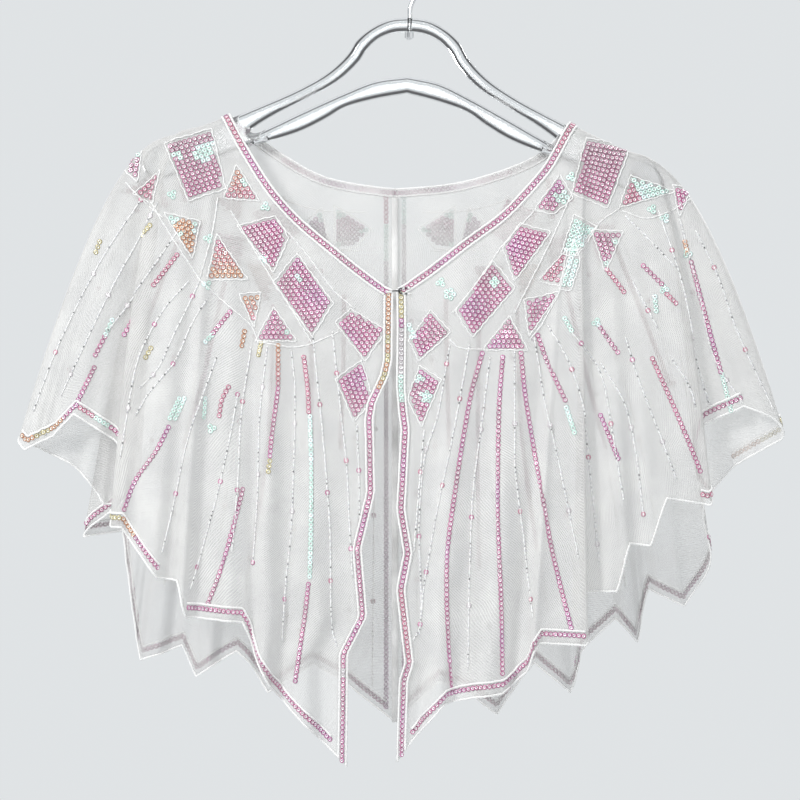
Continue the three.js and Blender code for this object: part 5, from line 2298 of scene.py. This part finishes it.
class Capelet:
    """The whole garment: net, bands, tape, closure and decoration."""

    FLAT_SIZE = (0.80, 0.46)
    HEM_STRETCHES = {
        Side.LEFT: (
            (0.5, 18, (Foil.PINK,)), (22, 28.5, (Foil.PINK, Foil.PINK, Foil.ORANGE, Foil.YELLOW)),
            (35, 47, (Foil.PINK, Foil.MINT, Foil.ROSE, Foil.PINK, Foil.ORANGE, Foil.YELLOW, Foil.ORANGE)),
            (60, 99.5, (Foil.PINK,)),
        ),
        Side.RIGHT: (
            (0.5, 18, (Foil.PINK,)), (36, 44, (Foil.ROSE, Foil.PINK)), (47, 54, (Foil.YELLOW, Foil.ORANGE)),
            (60, 99.5, (Foil.PINK,)),
        ),
    }
    BAND_FOILS = {
        "neck": (Foil.PINK,) * 5 + (Foil.ROSE, Foil.PINK, Foil.PEARL, Foil.PINK, Foil.LILAC, Foil.PINK),
        "front_left": (Foil.ORANGE,) * 4 + (Foil.YELLOW, Foil.ORANGE) * 3 + (Foil.PINK,) * 30 + (Foil.PEARL,)
                      + (Foil.PINK,) * 9,
        "front_right": (Foil.YELLOW,) * 3 + (Foil.PINK,) + (Foil.PEARL,) * 5 + (Foil.MINT,) * 3
                       + (Foil.PINK,) * 20 + (Foil.ROSE,) * 8 + (Foil.PINK,) * 10,
    }

    def __init__(self, finishes: Finishes) -> None:
        """Works out both halves.

        Args:
            finishes: The materials.
        """
        self.finishes = finishes
        self.shells = {
            Side.LEFT: NetShell(HangingHalf(Side.LEFT, LEFT_VEE, LEFT_NAPE, LEFT_HEM)),
            Side.RIGHT: NetShell(HangingHalf(Side.RIGHT, RIGHT_VEE, RIGHT_NAPE, RIGHT_HEM)),
        }
        self.rays = ClothRays(list(self.shells.values()))

    def tape(self) -> bpy.types.Object:
        """Makes the tape inside the centre-back seam.

        Returns:
            The piece.
        """
        seam = self.shells[Side.LEFT].grid[-1]
        inward = 1.8
        half_width = 2.5
        middle = seam - np.array([0, inward, 0])
        near, far = middle.copy(), middle.copy()
        near[:, 0], far[:, 0] = CENTRE_BACK_X - half_width, CENTRE_BACK_X + half_width
        strip = BandStrip("seam_tape", near, far, np.tile(np.array([0.0, -1.0, 0.0]), (len(seam), 1)))
        piece = strip.build(self.finishes.tape, "centre_back_tape")
        return piece

    def build(self) -> None:
        """Makes every piece and logs the area of each sheet of net."""
        trims = Embroidery(self.rays, self.finishes)
        nets, bands = {}, {}
        for side, shell in self.shells.items():
            net = shell.build()
            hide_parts(f"cloth_{side.word}")
            dress(net, self.finishes.net)
            nets[side] = net
            neck, front = BandStrip.of_neck(shell), BandStrip.of_front(shell)
            bands[side] = [
                neck.build(self.finishes.band, f"neck_band_{side.word}"),
                front.build(self.finishes.band, f"front_band_{side.word}"),
            ]
            trims.trim_band(neck, side, self.BAND_FOILS["neck"])
            trims.trim_band(front, side, self.BAND_FOILS[f"front_{side.word}"])
            trims.hem(shell, self.HEM_STRETCHES[side])
        self.tape()
        trims.sew()
        decoration = trims.build()
        for node in ("closure_hook", "closure_eye"):
            dress(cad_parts[node], self.finishes.blackened)
        for side, net in nets.items():
            area = self.shells[side].area()
            LOG.info("%s is %.4f square metres", net.name, area)


class Studio:
    """The camera, the pale surroundings and the soft lights."""

    CAMERA_AT = (-0.0046, -2.426, -0.353)
    LENS = 140.0
    SENSOR = 36.0
    FLOOR_Z = -1.5
    FLOOR_HALF = 3.0
    PALE = (0.745, 0.77, 0.785)
    DUSK = (0.09, 0.09, 0.094)
    RING_INSIDE = (0.92, 0.984)
    RING_OUTSIDE = (0.64, 0.74)
    MIDDLE = (0.0, 0.0, -0.35)
    LIGHTS = (
        ("key", (-1.35, -1.7, 0.8), (0.5, 0.5), 40),
        ("fill", (1.6, -1.7, 0.1), (1.2, 1.2), 3),
        ("strip", (0.0, -1.5, 1.3), (1.8, 0.14), 6),
        ("front", (0.0, -2.3, 0.15), (0.6, 0.3), 4),
        ("back", (1.5, 1.6, 0.7), (0.8, 0.8), 34),
    )

    def __init__(self, finishes: Finishes) -> None:
        """Keeps the materials."""
        self.finishes = finishes

    def camera(self) -> None:
        """Places the camera as the photograph was taken."""
        data = bpy.data.cameras.new("camera")
        data.lens = self.LENS
        data.sensor_width = self.SENSOR
        camera = bpy.data.objects.new("camera", data)
        camera.location = self.CAMERA_AT
        camera.rotation_euler = (math.pi / 2, 0, 0)
        bpy.context.scene.collection.objects.link(camera)
        bpy.context.scene.camera = camera

    def floor(self) -> None:
        """Lays the pale floor below the capelet."""
        half = self.FLOOR_HALF
        data = bpy.data.meshes.new("floor")
        corners = [(-half, -half, self.FLOOR_Z), (half, -half, self.FLOOR_Z),
                   (half, half, self.FLOOR_Z), (-half, half, self.FLOOR_Z)]
        data.from_pydata(corners, [], [(0, 1, 2, 3)])
        floor = bpy.data.objects.new("floor", data)
        bpy.context.scene.collection.objects.link(floor)
        dress(floor, self.finishes.floor)

    def world(self) -> None:
        """Fills the surroundings with pale light, and a dusky ring that the clear hanger bends into view."""
        world = bpy.data.worlds.new("pale")
        world.use_nodes = True
        nodes = Nodes(world.node_tree)
        background = world.node_tree.nodes["Background"]
        way = nodes.add("SeparateXYZ")
        nodes.join(nodes.add("TexCoord").outputs["Generated"], way.inputs[0])
        straight = nodes.math("ABSOLUTE", way.outputs[1])
        inside = nodes.ramp(straight, *self.RING_INSIDE)
        outside = nodes.ramp(straight, *self.RING_OUTSIDE, 1.0, 0.0)
        ring = nodes.math("MAXIMUM", inside, outside)
        seen = nodes.add("LightPath").outputs["Is Camera Ray"]
        pale = nodes.math("MAXIMUM", ring, seen)
        nodes.join(nodes.mix(pale, self.DUSK, self.PALE), background.inputs["Color"])
        background.inputs["Strength"].default_value = 1.0
        bpy.context.scene.world = world

    def light(self, name: str, place: tuple[float, float, float], size: tuple[float, float], power: float
              ) -> None:
        """Points a soft light at the capelet.

        Args:
            name: The light's name.
            place: Where it stands, in metres.
            size: Its width and height, in metres.
            power: Its power, in watts.
        """
        data = bpy.data.lights.new(name, "AREA")
        data.shape = "RECTANGLE"
        data.size, data.size_y = size
        data.energy = power
        light = bpy.data.objects.new(name, data)
        light.location = place
        way = Vector(self.MIDDLE) - Vector(place)
        light.rotation_euler = way.to_track_quat("-Z", "Y").to_euler()
        bpy.context.scene.collection.objects.link(light)

    def build(self) -> None:
        """Sets up the whole studio."""
        self.camera()
        self.floor()
        self.world()
        for name, place, size, power in self.LIGHTS:
            self.light(name, place, size, power)
        bpy.context.scene.view_settings.view_transform = "Standard"
        bpy.context.scene.cycles.transparent_max_bounces = 18
        bpy.context.scene.cycles.max_bounces = 10
        bpy.context.scene.cycles.transmission_bounces = 10


def main() -> None:
    """Builds the capelet, its hanger and its surroundings, and notes the sizes."""
    logging.basicConfig(level=logging.INFO, format="%(message)s")
    finishes = Finishes()
    HangerModel(finishes).build()
    Capelet(finishes).build()
    Studio(finishes).build()


if __name__ == "__main__":
    main()
